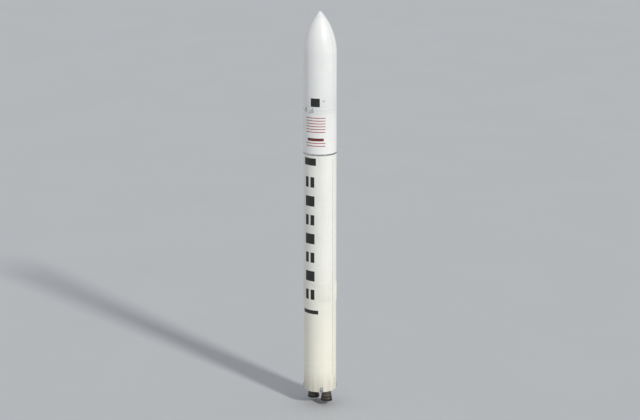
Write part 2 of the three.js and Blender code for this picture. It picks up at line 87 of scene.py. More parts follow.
# Mesh helpers
class Shape:
    # collects the parts of one piece, then makes it a mesh object
    def __init__(self):
        self.points = []
        self.faces = []
        self.paints = []

    def add(self, points, faces, paint=0, matrix=None):
        first = len(self.points)
        for point in points:
            self.points.append(matrix @ Vector(point) if matrix else Vector(point))
        for face in faces:
            self.faces.append([first + corner for corner in face])
            self.paints.append(paint)

    def loft(self, rows, paint=0, ring=True, closed=False, caps=True, matrix=None):
        # faces between rows of points: a row of one point is a tip, ring closes each row on
        # itself, closed joins the last row to the first, paint may be a list with one a band
        wide = max(len(row) for row in rows)
        first = len(self.points)
        self.add([point for row in rows for point in row], [], matrix=matrix)
        table = []
        for row in rows:
            table.append([first] * wide if len(row) == 1 else [first + step for step in range(wide)])
            first += len(row)
        for index in range(len(rows) if closed else len(rows) - 1):
            low, high = table[index], table[(index + 1) % len(rows)]
            for side in range(wide if ring else wide - 1):
                after = (side + 1) % wide
                corners = list(dict.fromkeys((low[side], low[after], high[after], high[side])))
                if len(corners) > 2:
                    self.faces.append(corners)
                    self.paints.append(paint[index] if isinstance(paint, list) else paint)
        for end in (table[0], table[-1]) if caps else ():
            if end[0] != end[-1]:
                self.faces.append(end)
                self.paints.append(paint)

    def take(self, work, paint=0, matrix=None):
        # the parts of a working mesh, which isn't used after that
        work.verts.index_update()
        faces = [[vert.index for vert in face.verts] for face in work.faces]
        self.add([vert.co.copy() for vert in work.verts], faces, paint, matrix)
        work.free()

    def slab(self, under, over, paint=0):
        # a closed plate between two grids of points
        self.loft([low + high[::-1] for low, high in zip(under, over)], paint, caps=False)
        for end in (0, -1):
            self.loft([under[end], over[end]], paint, ring=False, caps=False)

    def make(self, name, finishes, body, slot, replaced=(), sharp=32):
        mesh = bpy.data.meshes.new(name)
        mesh.from_pydata(self.points, [], self.faces)
        for finish in finishes:
            mesh.materials.append(finish)
        mesh.polygons.foreach_set("material_index", self.paints)
        work = bmesh.new()
        work.from_mesh(mesh)
        bmesh.ops.remove_doubles(work, verts=work.verts, dist=1e-6)
        bmesh.ops.recalc_face_normals(work, faces=work.faces)
        work.to_mesh(mesh)
        work.free()
        return placed(mesh, name, body, replaced, sharp)


def placed(mesh, name, body, replaced, sharp):
    mesh.shade_smooth()
    mesh.set_sharp_from_angle(angle=radians(sharp))
    piece = bpy.data.objects.new(name, mesh)
    scene.collection.objects.link(piece)
    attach(piece, body)
    if replaced:
        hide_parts(*replaced)
    return piece


def ringPoint(radius, angle, height):
    return (radius * cos(angle), radius * sin(angle), height)


def circle(radius, steps, height=0.0, centre=(0, 0)):
    points = [ringPoint(radius, tau * step / steps, height) for step in range(steps)]
    return [(x + centre[0], y + centre[1], z) for x, y, z in points]


def revolve(shape, profile, steps=roundSteps, paint=0, centre=(0, 0), base=0.0, matrix=None):
    # a profile of (radius, height above base) runs from axis to axis, or closes on itself
    rows = []
    for radius, up in profile:
        rows.append(circle(radius, steps, base + up, centre) if radius > tiny else [(*centre, base + up)])
    shape.loft(rows, paint, closed=profile[0][0] > tiny, caps=False, matrix=matrix)


def shifted(points, radius, height=0.0):
    # profile points that are given as (out, up) from a radius and a height
    return [(radius + out, height + up) for out, up in points]


def boxRing(shape, inner, outer, low, high, steps=roundSteps, paint=0, broken=(0.002, 0.002), centre=(0, 0)):
    # a square ring round an axis, its outer corners broken by so much across and up
    edge, rise = broken
    profile = [(inner, low), (outer - edge, low), (outer, low + rise), (outer, high - rise),
               (outer - edge, high), (inner, high)]
    revolve(shape, profile, steps, paint, centre)


# shares of a bead's height and of how far it stands out, and a rise as a share of the latter
beadRows = ((-0.5, 0, 0), (-0.5, 0.75, 0.35), (-0.22, 1, 0), (0.22, 1, 0), (0.5, 0.75, -0.35), (0.5, 0, 0))
grooveRows = ((-0.5, 0), (-0.25, 1), (0.25, 1), (0.5, 0))


def bead(height, tall, proud):
    # a rounded ring that stands out of the skin, as profile points going up
    return [(bodyRadius + proud * out, height + tall * up + proud * rise) for up, out, rise in beadRows]


def groove(height, wide, deep):
    return [(bodyRadius - deep * into, height + wide * up) for up, into in grooveRows]


def skinProfile(low, high, features, edge=0.0015):
    # the outside of the skin from low to high, with its beads and grooves
    points = [(bodyRadius - edge, low), (bodyRadius, low + edge)]
    for feature in sorted(features, key=lambda each: each[0][1]):
        points += feature
    return points + [(bodyRadius, high - edge), (bodyRadius - edge, high)]


def wall(shape, outside, inner=bodyRadius - skin, inside=0):
    # a skin with this outside and a straight inside, which may have a finish of its own
    coats = [0] * len(outside) + [inside, 0]
    revolve(shape, outside + [(inner, outside[-1][1]), (inner, outside[0][1])], paint=coats)


def domeProfile(radius, rim, crown, steps=14):
    # a quarter of an ellipse, from its rim to the axis
    turns = [pi / 2 * step / steps for step in range(steps)]
    line = [(radius * cos(turn), rim + (crown - rim) * sin(turn)) for turn in turns]
    return line + [(0, crown)]


def onBody(angle, height, radius=bodyRadius):
    # where something stands on the skin: its Z points out, its Y points up
    out = Vector((cos(angle), sin(angle), 0))
    across = Vector((-sin(angle), cos(angle), 0))
    matrix = Matrix((across, Vector((0, 0, 1)), out)).transposed().to_4x4()
    matrix.translation = out * radius + Vector((0, 0, height))
    return matrix


def nearTo(angle, stretches):
    # whether an angle is in one of the stretches, each a middle and a half width
    return any(abs((angle - middle + pi) % tau - pi) < half for middle, half in stretches)


def around(count, skip=(), only=None):
    # even angles round the axis, less those that are in the stretches to skip
    angles = [tau * (index + 0.5) / count for index in range(count)]
    return [angle for angle in angles if not nearTo(angle, skip) and (not only or nearTo(angle, only))]


# shares of a fastener's radius and height, below a rivet's crown and from the foot of a hexagon
rivetRows = ((1, 0), (0.82, 0.62))
hexRows = ((1, 0.18), (1, 0.88), (0.86, 1))
washer = 1.5  # a washer's radius, as a share of its bolt's


def rivet(shape, place, radius, tall, paint=0, sides=8):
    rows = [circle(radius * out, sides, tall * up) for out, up in rivetRows]
    shape.loft(rows + [[(0, 0, tall)]], paint, matrix=place)


def hexBolt(shape, place, radius, tall, paint=0):
    # a washer with a hexagon head on it
    shape.loft([circle(radius * washer, 12, tall * up) for up in (0, hexRows[0][1])], paint, matrix=place)
    shape.loft([circle(radius * out, 6, tall * up) for out, up in hexRows], paint, matrix=place)


def rivetRow(shape, height, count, skip=(), size=0.0045, lift=0.0, only=None):
    for angle in around(count, skip, only):
        rivet(shape, onBody(angle, height, bodyRadius + lift - sunk), size, size / 2, 0, 6)


def boltRow(shape, height, edge, bolts, paint=0, way="out", centre=(0, 0), skip=()):
    # a ring of bolts, out of a wall or up or down on a flat face: bolts are (count, inset, size)
    count, inset, size = bolts
    radius, sign = edge - inset, -1 if way == "down" else 1
    for angle in around(count, skip):
        if way == "out":
            place = onBody(angle, height, radius - sunk)
        else:
            place = Matrix.Translation(ringPoint(radius, angle, height - sign * sunk))
            place = place @ Matrix.Rotation(pi if sign < 0 else 0, 4, "X")
        hexBolt(shape, Matrix.Translation((*centre, 0)) @ place, size, size * 0.8, paint)


# how far a pad's root is inside the skin, the width of its columns, and the rows of a round corner
padRows = {"root": 0.004, "column": 0.02, "shares": (0.12, 0.3, 0.6, 1)}


def curvedPad(shape, angle, low, high, half, proud, corner=0.03, edge=0.003, paint=0):
    # a plate with round corners that follows the skin
    tall = high - low
    columns = max(4, int(half / padRows["column"]))
    shares = [2 * step / columns - 1 for step in range(columns + 1)]
    shares = [-1] + shares + [1]  # the first and last are the foot of the broken edge
    rise = sorted([0, edge] + [corner * share for share in padRows["shares"]])
    under, over = [], []
    for level in rise + [tall - each for each in reversed(rise)]:
        into = max(corner - min(level, tall - level), 0)
        wide = half - corner + sqrt(corner**2 - into**2)
        lift = proud if edge <= level <= tall - edge else proud - edge
        feet = [(share * wide, -padRows["root"]) for share in shares]
        tops = [(share * (wide - edge), lift) for share in shares]
        tops[0], tops[-1] = (-wide, proud - edge), (wide, proud - edge)
        for grid, line in ((under, feet), (over, tops)):
            height = low + level
            grid.append([ringPoint(bodyRadius + up, angle + side / bodyRadius, height) for side, up in line])
    shape.slab(under, over, paint)


def strip(shape, angle, low, high, wide, proud):
    # a thin weld bead or strap up the skin
    shoulder = proud * 0.8
    section = ((-0.5, -bed), (-0.35, shoulder), (0, proud), (0.35, shoulder), (0.5, -bed))
    shape.loft([[ringPoint(bodyRadius + lift, angle + across * wide / bodyRadius, height)
                 for across, lift in section] for height in (low, high)])


def pipe(shape, path, radius, sides=12, paint=0):
    # a round pipe through a list of points, with closed ends
    path = [Vector(point) for point in path]
    rows, normal = [], None
    for index, point in enumerate(path):
        tangent = (path[min(index + 1, len(path) - 1)] - path[max(index - 1, 0)]).normalized()
        normal = normal or tangent.orthogonal()
        normal = (normal - tangent * normal.dot(tangent)).normalized()
        matrix = Matrix((normal, tangent.cross(normal), tangent)).transposed()
        rows.append([point + matrix @ Vector(spot) for spot in circle(radius, sides)])
    shape.loft(rows, paint)


def roundBox(shape, low, high, corner, paint=0, matrix=None):
    # a box with rounded edges
    work = bmesh.new()
    bmesh.ops.create_cube(work, size=1)
    for vert in work.verts:
        vert.co = [low[axis] + (high[axis] - low[axis]) * (vert.co[axis] + 0.5) for axis in range(3)]
    bmesh.ops.bevel(work, geom=list(work.edges), offset=corner, segments=2, affect="EDGES", profile=0.5)
    shape.take(work, paint, matrix)


def lug(shape, centre, half, below, above, hole, near, far, axis, paint=0):
    # an ear with a round bore: a flat plate from near to far along the bore's axis
    angles = [tau * step / 48 for step in range(48)]
    angles += [atan2(up, flat) % tau for flat in (-half, half) for up in (-below, above)]
    rim, bore = [], []
    for angle in sorted(set(angles)):
        flat, up = cos(angle), sin(angle)
        far1 = half / max(abs(flat), 1e-9)
        far2 = (above if up > 0 else below) / max(abs(up), 1e-9)
        rim.append((min(far1, far2) * flat, min(far1, far2) * up))
        bore.append((hole * flat, hole * up))

    def at(depth, line):
        spots = [(depth, flat, up) if axis == "x" else (flat, depth, up) for flat, up in line]
        return [Vector(centre) + Vector(spot) for spot in spots]

    rows = [at(near, bore), at(near, rim), at(far, rim), at(far, bore)]
    shape.loft(rows, paint, closed=True, caps=False)


def sweepArc(shape, section, start, end, steps, paint=0):
    # a closed section of (radius, height) pairs swept round the axis, with closed ends
    turns = [start + (end - start) * step / steps for step in range(steps + 1)]
    shape.loft([[ringPoint(radius, turn, height) for radius, height in section] for turn in turns], paint)


def bevelled(node, name, finish, body, width=0.003, steps=2):
    # the CAD piece itself with its edges rounded
    mesh = frame["nodes"][node].data.copy()
    mesh.materials.clear()
    mesh.materials.append(finish)
    work = bmesh.new()
    work.from_mesh(mesh)
    bmesh.ops.remove_doubles(work, verts=work.verts, dist=1e-5)
    bmesh.ops.dissolve_limit(work, angle_limit=radians(1.5), verts=work.verts, edges=work.edges)
    bent = [e for e in work.edges if len(e.link_faces) == 2 and e.calc_face_angle() > radians(30)]
    bmesh.ops.bevel(work, geom=bent, offset=width, segments=steps, affect="EDGES", clamp_overlap=True)
    work.to_mesh(mesh)
    work.free()
    return placed(mesh, name, body, [node], 35)


# Finishes
class Finish:
    def __init__(self, name, **sockets):
        self.material = bpy.data.materials.new(name)
        self.material.use_nodes = True
        self.tree = self.material.node_tree
        self.tree.nodes.clear()
        self.shader = self.tree.nodes.new("ShaderNodeBsdfPrincipled")
        output = self.tree.nodes.new("ShaderNodeOutputMaterial")
        self.tree.links.new(self.shader.outputs[0], output.inputs["Surface"])
        for socket, value in sockets.items():
            self.shader.inputs[socket].default_value = value
        self.place = self.node("TexCoord").outputs["Object"]

    def node(self, kind, inputs=None, **settings):
        made = self.tree.nodes.new("ShaderNode" + kind)
        for key, value in settings.items():
            setattr(made, key, value)
        for key, value in (inputs or {}).items():
            self.plug(made.inputs[key], value)
        return made

    def plug(self, socket, value):
        if isinstance(value, bpy.types.NodeSocket):
            self.tree.links.new(value, socket)
        else:
            socket.default_value = value

    def height(self):
        return self.node("SeparateXYZ", {0: self.place}).outputs[2]

    def stretched(self, scale):
        return self.node("Mapping", {"Vector": self.place, "Scale": scale}).outputs[0]

    def noise(self, scale, detail=3, roughness=0.55, place=None):
        inputs = {"Vector": place or self.place, "Scale": scale, "Detail": detail, "Roughness": roughness}
        return self.node("TexNoise", inputs).outputs["Fac"]

    def math(self, operation, first, second=0.0):
        return self.node("Math", {0: first, 1: second}, operation=operation).outputs[0]

    def remap(self, value, low, high, toLow=0.0, toHigh=1.0):
        inputs = {"Value": value, "From Min": low, "From Max": high, "To Min": toLow, "To Max": toHigh}
        return self.node("MapRange", inputs, interpolation_type="SMOOTHSTEP").outputs[0]

    def cloud(self, scale, detail, low, high, toLow=0.0, toHigh=1.0, roughness=0.55, stretch=None):
        # noise between two limits, spread over a range of its own, and stretched along an axis
        place = self.stretched(stretch) if stretch else None
        return self.remap(self.noise(scale, detail, roughness, place), low, high, toLow, toHigh)

    def mix(self, share, first, second):
        made = self.node("Mix", data_type="RGBA")
        for index, value in ((0, share), (6, first), (7, second)):
            self.plug(made.inputs[index], (*value, 1) if isinstance(value, tuple) else value)
        return made.outputs[2]

    def bump(self, height, distance, strength=1.0, under=None):
        inputs = {"Height": height, "Distance": distance, "Strength": strength}
        if under:
            inputs["Normal"] = under
        return self.node("Bump", inputs).outputs[0]

    def use(self, colour, roughness, normal):
        for socket, value in (("Base Color", colour), ("Roughness", roughness), ("Normal", normal)):
            self.plug(self.shader.inputs[socket], value)
        return self.material


paints = {
    "tank": {"base": (0.87, 0.866, 0.81), "shade": (0.805, 0.80, 0.745), "dirt": (0.52, 0.50, 0.44),
             "streak": 0.16, "rough": (0.36, 0.52), "grain": 0.0003},
    "skirt": {"base": (0.86, 0.855, 0.80), "shade": (0.785, 0.78, 0.725), "dirt": (0.46, 0.44, 0.39),
              "streak": 0.22, "rough": (0.38, 0.56), "grain": 0.0004},
    "fairing": {"base": (0.86, 0.86, 0.842), "shade": (0.80, 0.805, 0.79), "dirt": (0.56, 0.555, 0.53),
                "streak": 0.10, "rough": (0.32, 0.46), "grain": 0.0002},
    "nose": {"base": (0.80, 0.825, 0.85), "shade": (0.745, 0.77, 0.795), "dirt": (0.5, 0.5, 0.49),
             "streak": 0.10, "rough": (0.28, 0.40), "grain": 0.0002},
    "cover": {"base": (0.84, 0.837, 0.79), "shade": (0.76, 0.757, 0.71), "dirt": (0.45, 0.44, 0.40),
              "streak": 0.20, "rough": (0.38, 0.55), "grain": 0.0003},
}

# both by station, from none at high to the whole amount at low; the first is a creamier paint together with
# a painted warm glow of the engines' plume from below
creamAndPlumeGlow = {"low": 0.5, "high": 9.0, "amount": 0.62, "colour": (0.885, 0.848, 0.675)}
soot = {"low": -0.05, "high": 1.35, "amount": 0.5, "colour": (0.30, 0.27, 0.23)}
darkSoot = (0.02, 0.019, 0.018)


def paintFinish(name, recipe, creamyWithPlumeGlow=False, sooty=False):
    # sprayed paint with runs of dirt down it, creamier with a painted warm plume glow and then sooty towards
    # the base
    finish = Finish(name, **{"Coat Weight": 0.12, "Coat Roughness": 0.25})
    patch = finish.noise(2.6, 4)
    colour = finish.mix(finish.cloud(0.55, 3, 0.35, 0.7), recipe["base"], recipe["shade"])
    if creamyWithPlumeGlow:
        # painted warm glow of the plume from below, together with a creamier paint, growing towards the base
        tint = finish.remap(finish.height(), creamAndPlumeGlow["high"], creamAndPlumeGlow["low"], 0, creamAndPlumeGlow["amount"])
        colour = finish.mix(tint, colour, creamAndPlumeGlow["colour"])
    run = finish.noise(1.0, 5, 0.6, finish.stretched((5.5, 5.5, 0.22)))
    streak = finish.math("MULTIPLY", finish.remap(run, 0.5, 0.78), recipe["streak"])
    colour = finish.mix(streak, colour, recipe["dirt"])
    speck = finish.cloud(38, 2, 0.66, 0.74, 0, 0.22, 0.7)
    colour = finish.mix(finish.math("MULTIPLY", speck, patch), colour, recipe["dirt"])
    if sooty:
        rise = finish.remap(finish.height(), soot["high"], soot["low"])
        ragged = finish.math("MULTIPLY", rise, finish.remap(run, 0.25, 0.7, 0.35, 1))
        colour = finish.mix(finish.math("MULTIPLY", ragged, soot["amount"]), colour, soot["colour"])
    fine = finish.bump(finish.noise(420, 2), recipe["grain"], 0.5)
    waves = finish.bump(finish.noise(1.3, 2), 0.004, 0.35, fine)
    return finish.use(colour, finish.remap(patch, 0.3, 0.7, *recipe["rough"]), waves)


def metalFinish(name, base, tint, rough, across=(30, 30, 30), wear=0.35, metallic=1.0, stained=0.0):
    # brushed metal with darker patches, and dark runs down it where stained says how much
    finish = Finish(name, Metallic=metallic)
    colour = finish.mix(finish.cloud(7, 4, 0.35, 0.7), base, tint)
    colour = finish.mix(finish.cloud(2.2, 5, 0.48, 0.75, 0, wear, 0.65), colour, (0.09, 0.08, 0.07))
    if stained:
        colour = finish.mix(finish.cloud(1.0, 4, 0.4, 0.7, 0, stained, 0.6, (9, 9, 1.2)), colour, darkSoot)
    brushed = finish.noise(1.0, 3, 0.6, finish.stretched(across))
    return finish.use(colour, finish.remap(brushed, 0.3, 0.7, *rough), finish.bump(brushed, 0.0004, 0.4))


def shieldFinish():
    # matte coating, dark and patchy
    finish = Finish("heatShieldCoating")
    colour = finish.mix(finish.cloud(4, 5, 0.3, 0.7), (0.085, 0.083, 0.079), (0.17, 0.163, 0.15))
    colour = finish.mix(finish.cloud(26, 3, 0.58, 0.7, 0, 0.5, 0.7), colour, (0.045, 0.043, 0.041))
    weave = finish.noise(300, 2)
    normal = finish.bump(weave, 0.0009, 0.6, finish.bump(finish.noise(18, 3), 0.004, 0.4))
    return finish.use(colour, finish.remap(weave, 0.3, 0.7, 0.75, 0.95), normal)


# (share of the way from exit to throat, colour): brown-black, straw, blue and straw
heatTints = ((0.0, (0.060, 0.052, 0.047)), (0.30, (0.115, 0.098, 0.086)), (0.62, (0.20, 0.165, 0.13)),
             (0.80, (0.13, 0.13, 0.165)), (1.0, (0.26, 0.235, 0.20)))


def bellFinish():
    # steel with a heat tint along the bell
    finish = Finish("bellSteel", Metallic=0.9)
    wave = finish.math("ADD", finish.height(), finish.math("MULTIPLY", finish.noise(5, 3), 0.12))
    ramp = finish.node("ValToRGB", {0: finish.remap(wave, *span("engine_1_nozzle"))})
    elements = ramp.color_ramp.elements
    while len(elements) < len(heatTints):
        elements.new(0.5)
    for element, (share, colour) in zip(elements, heatTints):
        element.position = share
        element.color = (*colour, 1)
    dark = finish.cloud(1.0, 5, 0.42, 0.72, 0, 0.55, 0.65, (14, 14, 2))
    colour = finish.mix(dark, ramp.outputs[0], (0.022, 0.02, 0.019))
    grain = finish.noise(90, 3)
    return finish.use(colour, finish.remap(grain, 0.3, 0.7, 0.34, 0.58), finish.bump(grain, 0.0006, 0.4))


def clothFinish(name, base, shade, cell, depth=0.002):
    # a quilted or woven surface in small cells
    finish = Finish(name)
    colour = finish.mix(finish.cloud(6, 4, 0.3, 0.7), base, shade)
    place = {"Vector": finish.place, "Scale": cell}
    cells = finish.node("TexVoronoi", place, feature="F1").outputs["Distance"]
    colour = finish.mix(finish.remap(cells, 0.2, 0.6, 0, 0.25), colour, shade)
    return finish.use(colour, finish.cloud(60, 2, 0.3, 0.7, 0.7, 0.9), finish.bump(cells, depth, 0.5))


def woundFinish():
    # carbon fibre bands wound at two angles round the case
    finish = Finish("woundCarbon", **{"Coat Weight": 0.35, "Coat Roughness": 0.3})
    xyz = finish.node("SeparateXYZ", {0: finish.place}).outputs
    turned = finish.math("MULTIPLY", finish.math("ARCTAN2", xyz[1], xyz[0]), 22.0)
    along = finish.math("MULTIPLY", xyz[2], 75.0)
    bands = [finish.math("SINE", finish.math(way, along, turned)) for way in ("ADD", "SUBTRACT")]
    weave = finish.math("MAXIMUM", *bands)
    colour = finish.mix(finish.remap(weave, -0.6, 1), (0.012, 0.012, 0.014), (0.042, 0.043, 0.047))
    colour = finish.mix(finish.cloud(3, 4, 0.45, 0.7, 0, 0.35), colour, (0.07, 0.066, 0.058))
    return finish.use(colour, finish.cloud(25, 3, 0.3, 0.7, 0.3, 0.5), finish.bump(weave, 0.0012, 0.5))


def markFinish(name, base, worn):
    # painted marks, slightly chalky where the sun has had them
    finish = Finish(name, **{"Coat Weight": 0.1, "Coat Roughness": 0.3})
    chalk, speck = finish.cloud(9, 5, 0.4, 0.75, 0, 0.5), finish.cloud(70, 3, 0.62, 0.72, 0, 0.5, 0.7)
    colour = finish.mix(finish.math("MAXIMUM", chalk, speck), base, worn)
    rough, grain = finish.cloud(30, 2, 0.3, 0.7, 0.38, 0.55), finish.bump(finish.noise(350, 2), 0.0002, 0.4)
    return finish.use(colour, rough, grain)


tankPaint = paintFinish("tankPaint", paints["tank"], True)
skirtPaint = paintFinish("skirtPaint", paints["skirt"], True)
aftPaint = paintFinish("aftBayPaint", paints["skirt"], True, True)
fairingPaint = paintFinish("fairingPaint", paints["fairing"])
noseCoat = paintFinish("noseCoat", paints["nose"])
coverPaint = paintFinish("coverPaint", paints["cover"], True)
bareMetal = metalFinish("machinedRing", (0.70, 0.71, 0.72), (0.58, 0.59, 0.61), (0.28, 0.45), (3, 3, 160))
primedMetal = metalFinish("primedFrame", (0.24, 0.255, 0.20), (0.19, 0.20, 0.165), (0.5, 0.7), metallic=0.25)
darkSteel = metalFinish("engineSteel", (0.42, 0.40, 0.37), (0.30, 0.27, 0.24), (0.3, 0.5), wear=0.5)
pumpMetal = metalFinish("pumpCasting", (0.50, 0.48, 0.44), (0.38, 0.37, 0.35), (0.4, 0.6), wear=0.4)
boltMetal = metalFinish("boltSteel", (0.40, 0.40, 0.41), (0.30, 0.30, 0.31), (0.35, 0.5))
sootMetal = metalFinish("bellInside", (0.20, 0.18, 0.16), (0.13, 0.115, 0.10), (0.45, 0.65), wear=0.5,
                        stained=0.6)
shieldCoat = shieldFinish()
bellSteel = bellFinish()
linerCloth = clothFinish("fairingLiner", (0.66, 0.66, 0.62), (0.54, 0.54, 0.51), 55)
backingCloth = clothFinish("linerBacking", (0.34, 0.34, 0.32), (0.26, 0.26, 0.245), 90)
coneCarbon = clothFinish("coneCarbon", (0.035, 0.036, 0.039), (0.016, 0.016, 0.018), 140, 0.0008)
tanWrap = clothFinish("phenolicWrap", (0.11, 0.085, 0.06), (0.07, 0.053, 0.038), 120, 0.0008)
woundCarbon = woundFinish()
blackMark = markFinish("blackMark", (0.012, 0.013, 0.012), (0.032, 0.032, 0.030))
redMark = markFinish("redMark", (0.40, 0.032, 0.028), (0.46, 0.10, 0.085))
darkRedMark = markFinish("darkRedMark", (0.15, 0.018, 0.018), (0.20, 0.045, 0.04))
print("finishes ready")


# Skins. Levels are metres above a piece's own foot, or below its top where they are negative
racewayClear = 0.095  # half the width that a raceway takes of a row of fasteners
racewaySkips = [(angle, racewayClear / bodyRadius) for angle in (0, pi)]


def buildSkin(recipe, extra=None):
    # a round skin with its beads, grooves, rows of rivets and lengthwise seams
    node = recipe["node"]
    low, high = span(node)
    top = recipe.get("top", high)

    def level(up):
        return up + (top if up < 0 else low)

    shape = Shape()
    features = [bead(level(up), *size) for up, *size in recipe["beads"]]
    features += [groove(level(up), *size) for up, *size in recipe.get("grooves", ())]
    outside = skinProfile(low, top, features)
    if "inside" in recipe:
        wall(shape, outside, recipe.get("inner", bodyRadius - skin), recipe["inside"])
    else:
        revolve(shape, [(0, low)] + outside + recipe.get("crown", [(0, top)]))
    for up in recipe.get("rows", ()):
        rivetRow(shape, level(up), recipe["rivets"], recipe.get("skip", ()), recipe.get("size", 0.0045))
    for angle, start, end in recipe.get("seams", ()):
        strip(shape, angle, level(start), level(end), *recipe["seam"])
    if extra:
        extra(shape)
    body, slot = recipe.get("body", "first_stage"), recipe.get("slot", "white_paint")
    shape.make(recipe["name"], recipe["finishes"], body, slot, [node])


aftBay = {
    "node": "aft_bay", "name": "aftBaySkin", "finishes": [aftPaint], "inside": 0,
    "beads": ((0.032, 0.056, 0.005), (0.50, 0.03, 0.004), (0.96, 0.03, 0.004), (1.47, 0.04, 0.005)),
    "rows": (0.062, 0.118, 0.472, 0.528), "topRows": (0.932, 0.988, 1.382, 1.438), "rivets": 132,
    "seam": (0.022, 0.0022),
    "seams": [(angle, *ends) for angle in around(24) for ends in ((0.12, 0.46), (0.54, 0.92), (1.0, 1.37))],
}


def aftBayTop(shape):  # rows of rivets beside the raceways' feet
    for up in aftBay["topRows"]:
        rivetRow(shape, span("aft_bay")[0] + up, aftBay["rivets"], racewaySkips)


weld = {"ring": (0.024, 0.0026), "seam": (0.026, 0.0018), "gap": 0.03, "end": 0.02,
        "rim": (0.03, 0.036, 0.0045)}


def tank(node, name, finishes, welds, turns, top):
    # welds are stations of the rings between barrels, turns the angles of the lengthwise ones
    low, (rim, *size) = span(node)[0], weld["rim"]
    ends = [weld["end"], *(station - low for station in welds), top - low - weld["end"]]
    seams = []
    for index, (foot, end) in enumerate(zip(ends, ends[1:])):
        for quarter in range(4):
            angle = radians(turns[index % 2] + 90 * quarter)
            seams.append((angle, foot + weld["gap"], end - weld["gap"]))
    beads = [(rim, *size), (-rim, *size)] + [(station - low, *weld["ring"]) for station in welds]
    return {"node": node, "name": name, "finishes": finishes, "top": top, "beads": beads, "seams": seams,
            "seam": weld["seam"]}


fuelTank = tank("fuel_tank", "fuelTankSkin", [tankPaint], (2.667, 3.833), (45, 65), span("fuel_tank")[1])

# the oxidizer tank's upper dome: weld is where the gores meet its cap, as a share of a quarter
# turn, a port is (angle in degrees, share, radius), its flange (share of that radius, height)
dome = {
    "inset": 0.036, "under": 0.003, "gores": 8, "start": 0.04, "weld": 0.62, "half": 0.012, "proud": 0.0022,
    "steps": 14, "cover": ((0.155, -0.004), (0.152, -0.001), (0.120, 0), (0, 0)), "coverTall": 0.012,
    "coverBolts": (24, 0.017, 0.006), "ports": ((40, 0.5, 0.045), (220, 0.5, 0.032)),
    "flange": ((0, -0.02), (1, -0.02), (1, 0.009), (0.7, 0.0108), (0.7, 0.024), (0.92, 0.0252),
               (0.92, 0.030), (0, 0.030)),
}
barrelTop = span("forward_skirt")[0] - hairline
crownTop = span("oxidizer_tank")[1] - dome["under"]
domeRadius = bodyRadius - dome["inset"]
oxidizerTank = tank("oxidizer_tank", "oxidizerTankSkin", [tankPaint, bareMetal, boltMetal],
                    (7.135, 8.165, 9.195, 10.225, 11.255), (65, 45), barrelTop)
oxidizerTank["crown"] = domeProfile(domeRadius, barrelTop, crownTop)


def onDome(share, lift=0.0):  # distance from the axis, station and lean of a place on the dome
    turn, rise = pi / 2 * share, crownTop - barrelTop
    lean = atan2(domeRadius * sin(turn), rise * cos(turn))
    out = domeRadius * cos(turn) + lift * cos(lean)
    return out, barrelTop + rise * sin(turn) + lift * sin(lean), lean


def domeFittings(shape):
    # welds between the gores, a bolted manhole cover at the top, and two blank ports
    half, proud, start, steps = dome["half"], dome["proud"], dome["start"], dome["steps"]
    section = ((-1, -bed), (-0.6, proud), (0.6, proud), (1, -bed))
    for angle in around(dome["gores"]):
        rows = []
        for step in range(steps + 1):
            share = start + (dome["weld"] - start) * step / steps
            spots = [(across * half, *onDome(share, lift)) for across, lift in section]
            rows.append([ringPoint(out, angle + across / out, height) for across, out, height, _ in spots])
        shape.loft(rows)
    wide = half / domeRadius
    revolve(shape, [onDome(dome["weld"] + side * wide, lift)[:2] for side, lift in section], 96)
    cover, top = dome["cover"][0][0], crownTop + dome["coverTall"]
    foot = onDome(1 - 0.64 * cover / domeRadius)[1] - 0.004 - top
    revolve(shape, [(0, foot), (cover, foot), *dome["cover"]], 72, 1, base=top)
    boltRow(shape, top - bed, cover, dome["coverBolts"], 2, "up")
    for degrees, share, size in dome["ports"]:
        out, height, lean = onDome(share)
        place = onBody(radians(degrees), height, out) @ Matrix.Rotation(-lean, 4, "X")
        revolve(shape, [(size * radius, up) for radius, up in dome["flange"]], 36, 1, matrix=place)


intertank = {
    "node": "intertank", "name": "intertankSkin", "finishes": [skirtPaint],
    "beads": ((0.024, 0.046, 0.007), (-0.024, 0.046, 0.007)),
    "rows": (0.056, -0.056), "rivets": 144, "skip": racewaySkips, "inset": 0.07, "ramp": 0.03, "start": 0.25,
}
stringerAngles = around(60, racewaySkips)
stringerSection = ((-0.021, 0), (-0.0195, 0.002), (-0.0125, 0.002), (-0.009, 0.012), (0.009, 0.012),
                   (0.0125, 0.002), (0.0195, 0.002), (0.021, 0))


def stringer(shape, angle, levels, over=0.0):
    # a riveted hat section, with levels as (height, rise) pairs: over makes one that covers another
    rows = []
    for height, rise in levels:
        row = []
        for across, proud in stringerSection:
            radius = bodyRadius - hairline + (proud * rise if proud > 0.002 else proud) + over
            side = across + copysign(over, across)
            row.append(ringPoint(radius, angle + side / bodyRadius, height))
        rows.append(row)
    shape.loft(rows)


def stringers(shape):
    low, high = span("intertank")
    inset, ramp, start = (intertank[key] for key in ("inset", "ramp", "start"))
    foot, top = low + inset, high - inset
    for angle in stringerAngles:
        stringer(shape, angle, ((foot, start), (foot + ramp, 1), (top - ramp, 1), (top, start)))


forwardSkirt = {
    "node": "forward_skirt", "name": "forwardSkirtSkin", "finishes": [skirtPaint, primedMetal], "inside": 1,
    "beads": ((0.024, 0.036, 0.005),), "rows": (0.028, 0.072, 0.533, 0.577), "rivets": 120,
    "skip": racewaySkips,
}

# lip is a share of the height
jointRing = {"bolts": (72, 0, 0.006), "lip": 0.42, "step": 0.003, "wall": 0.026, "edge": 0.002}


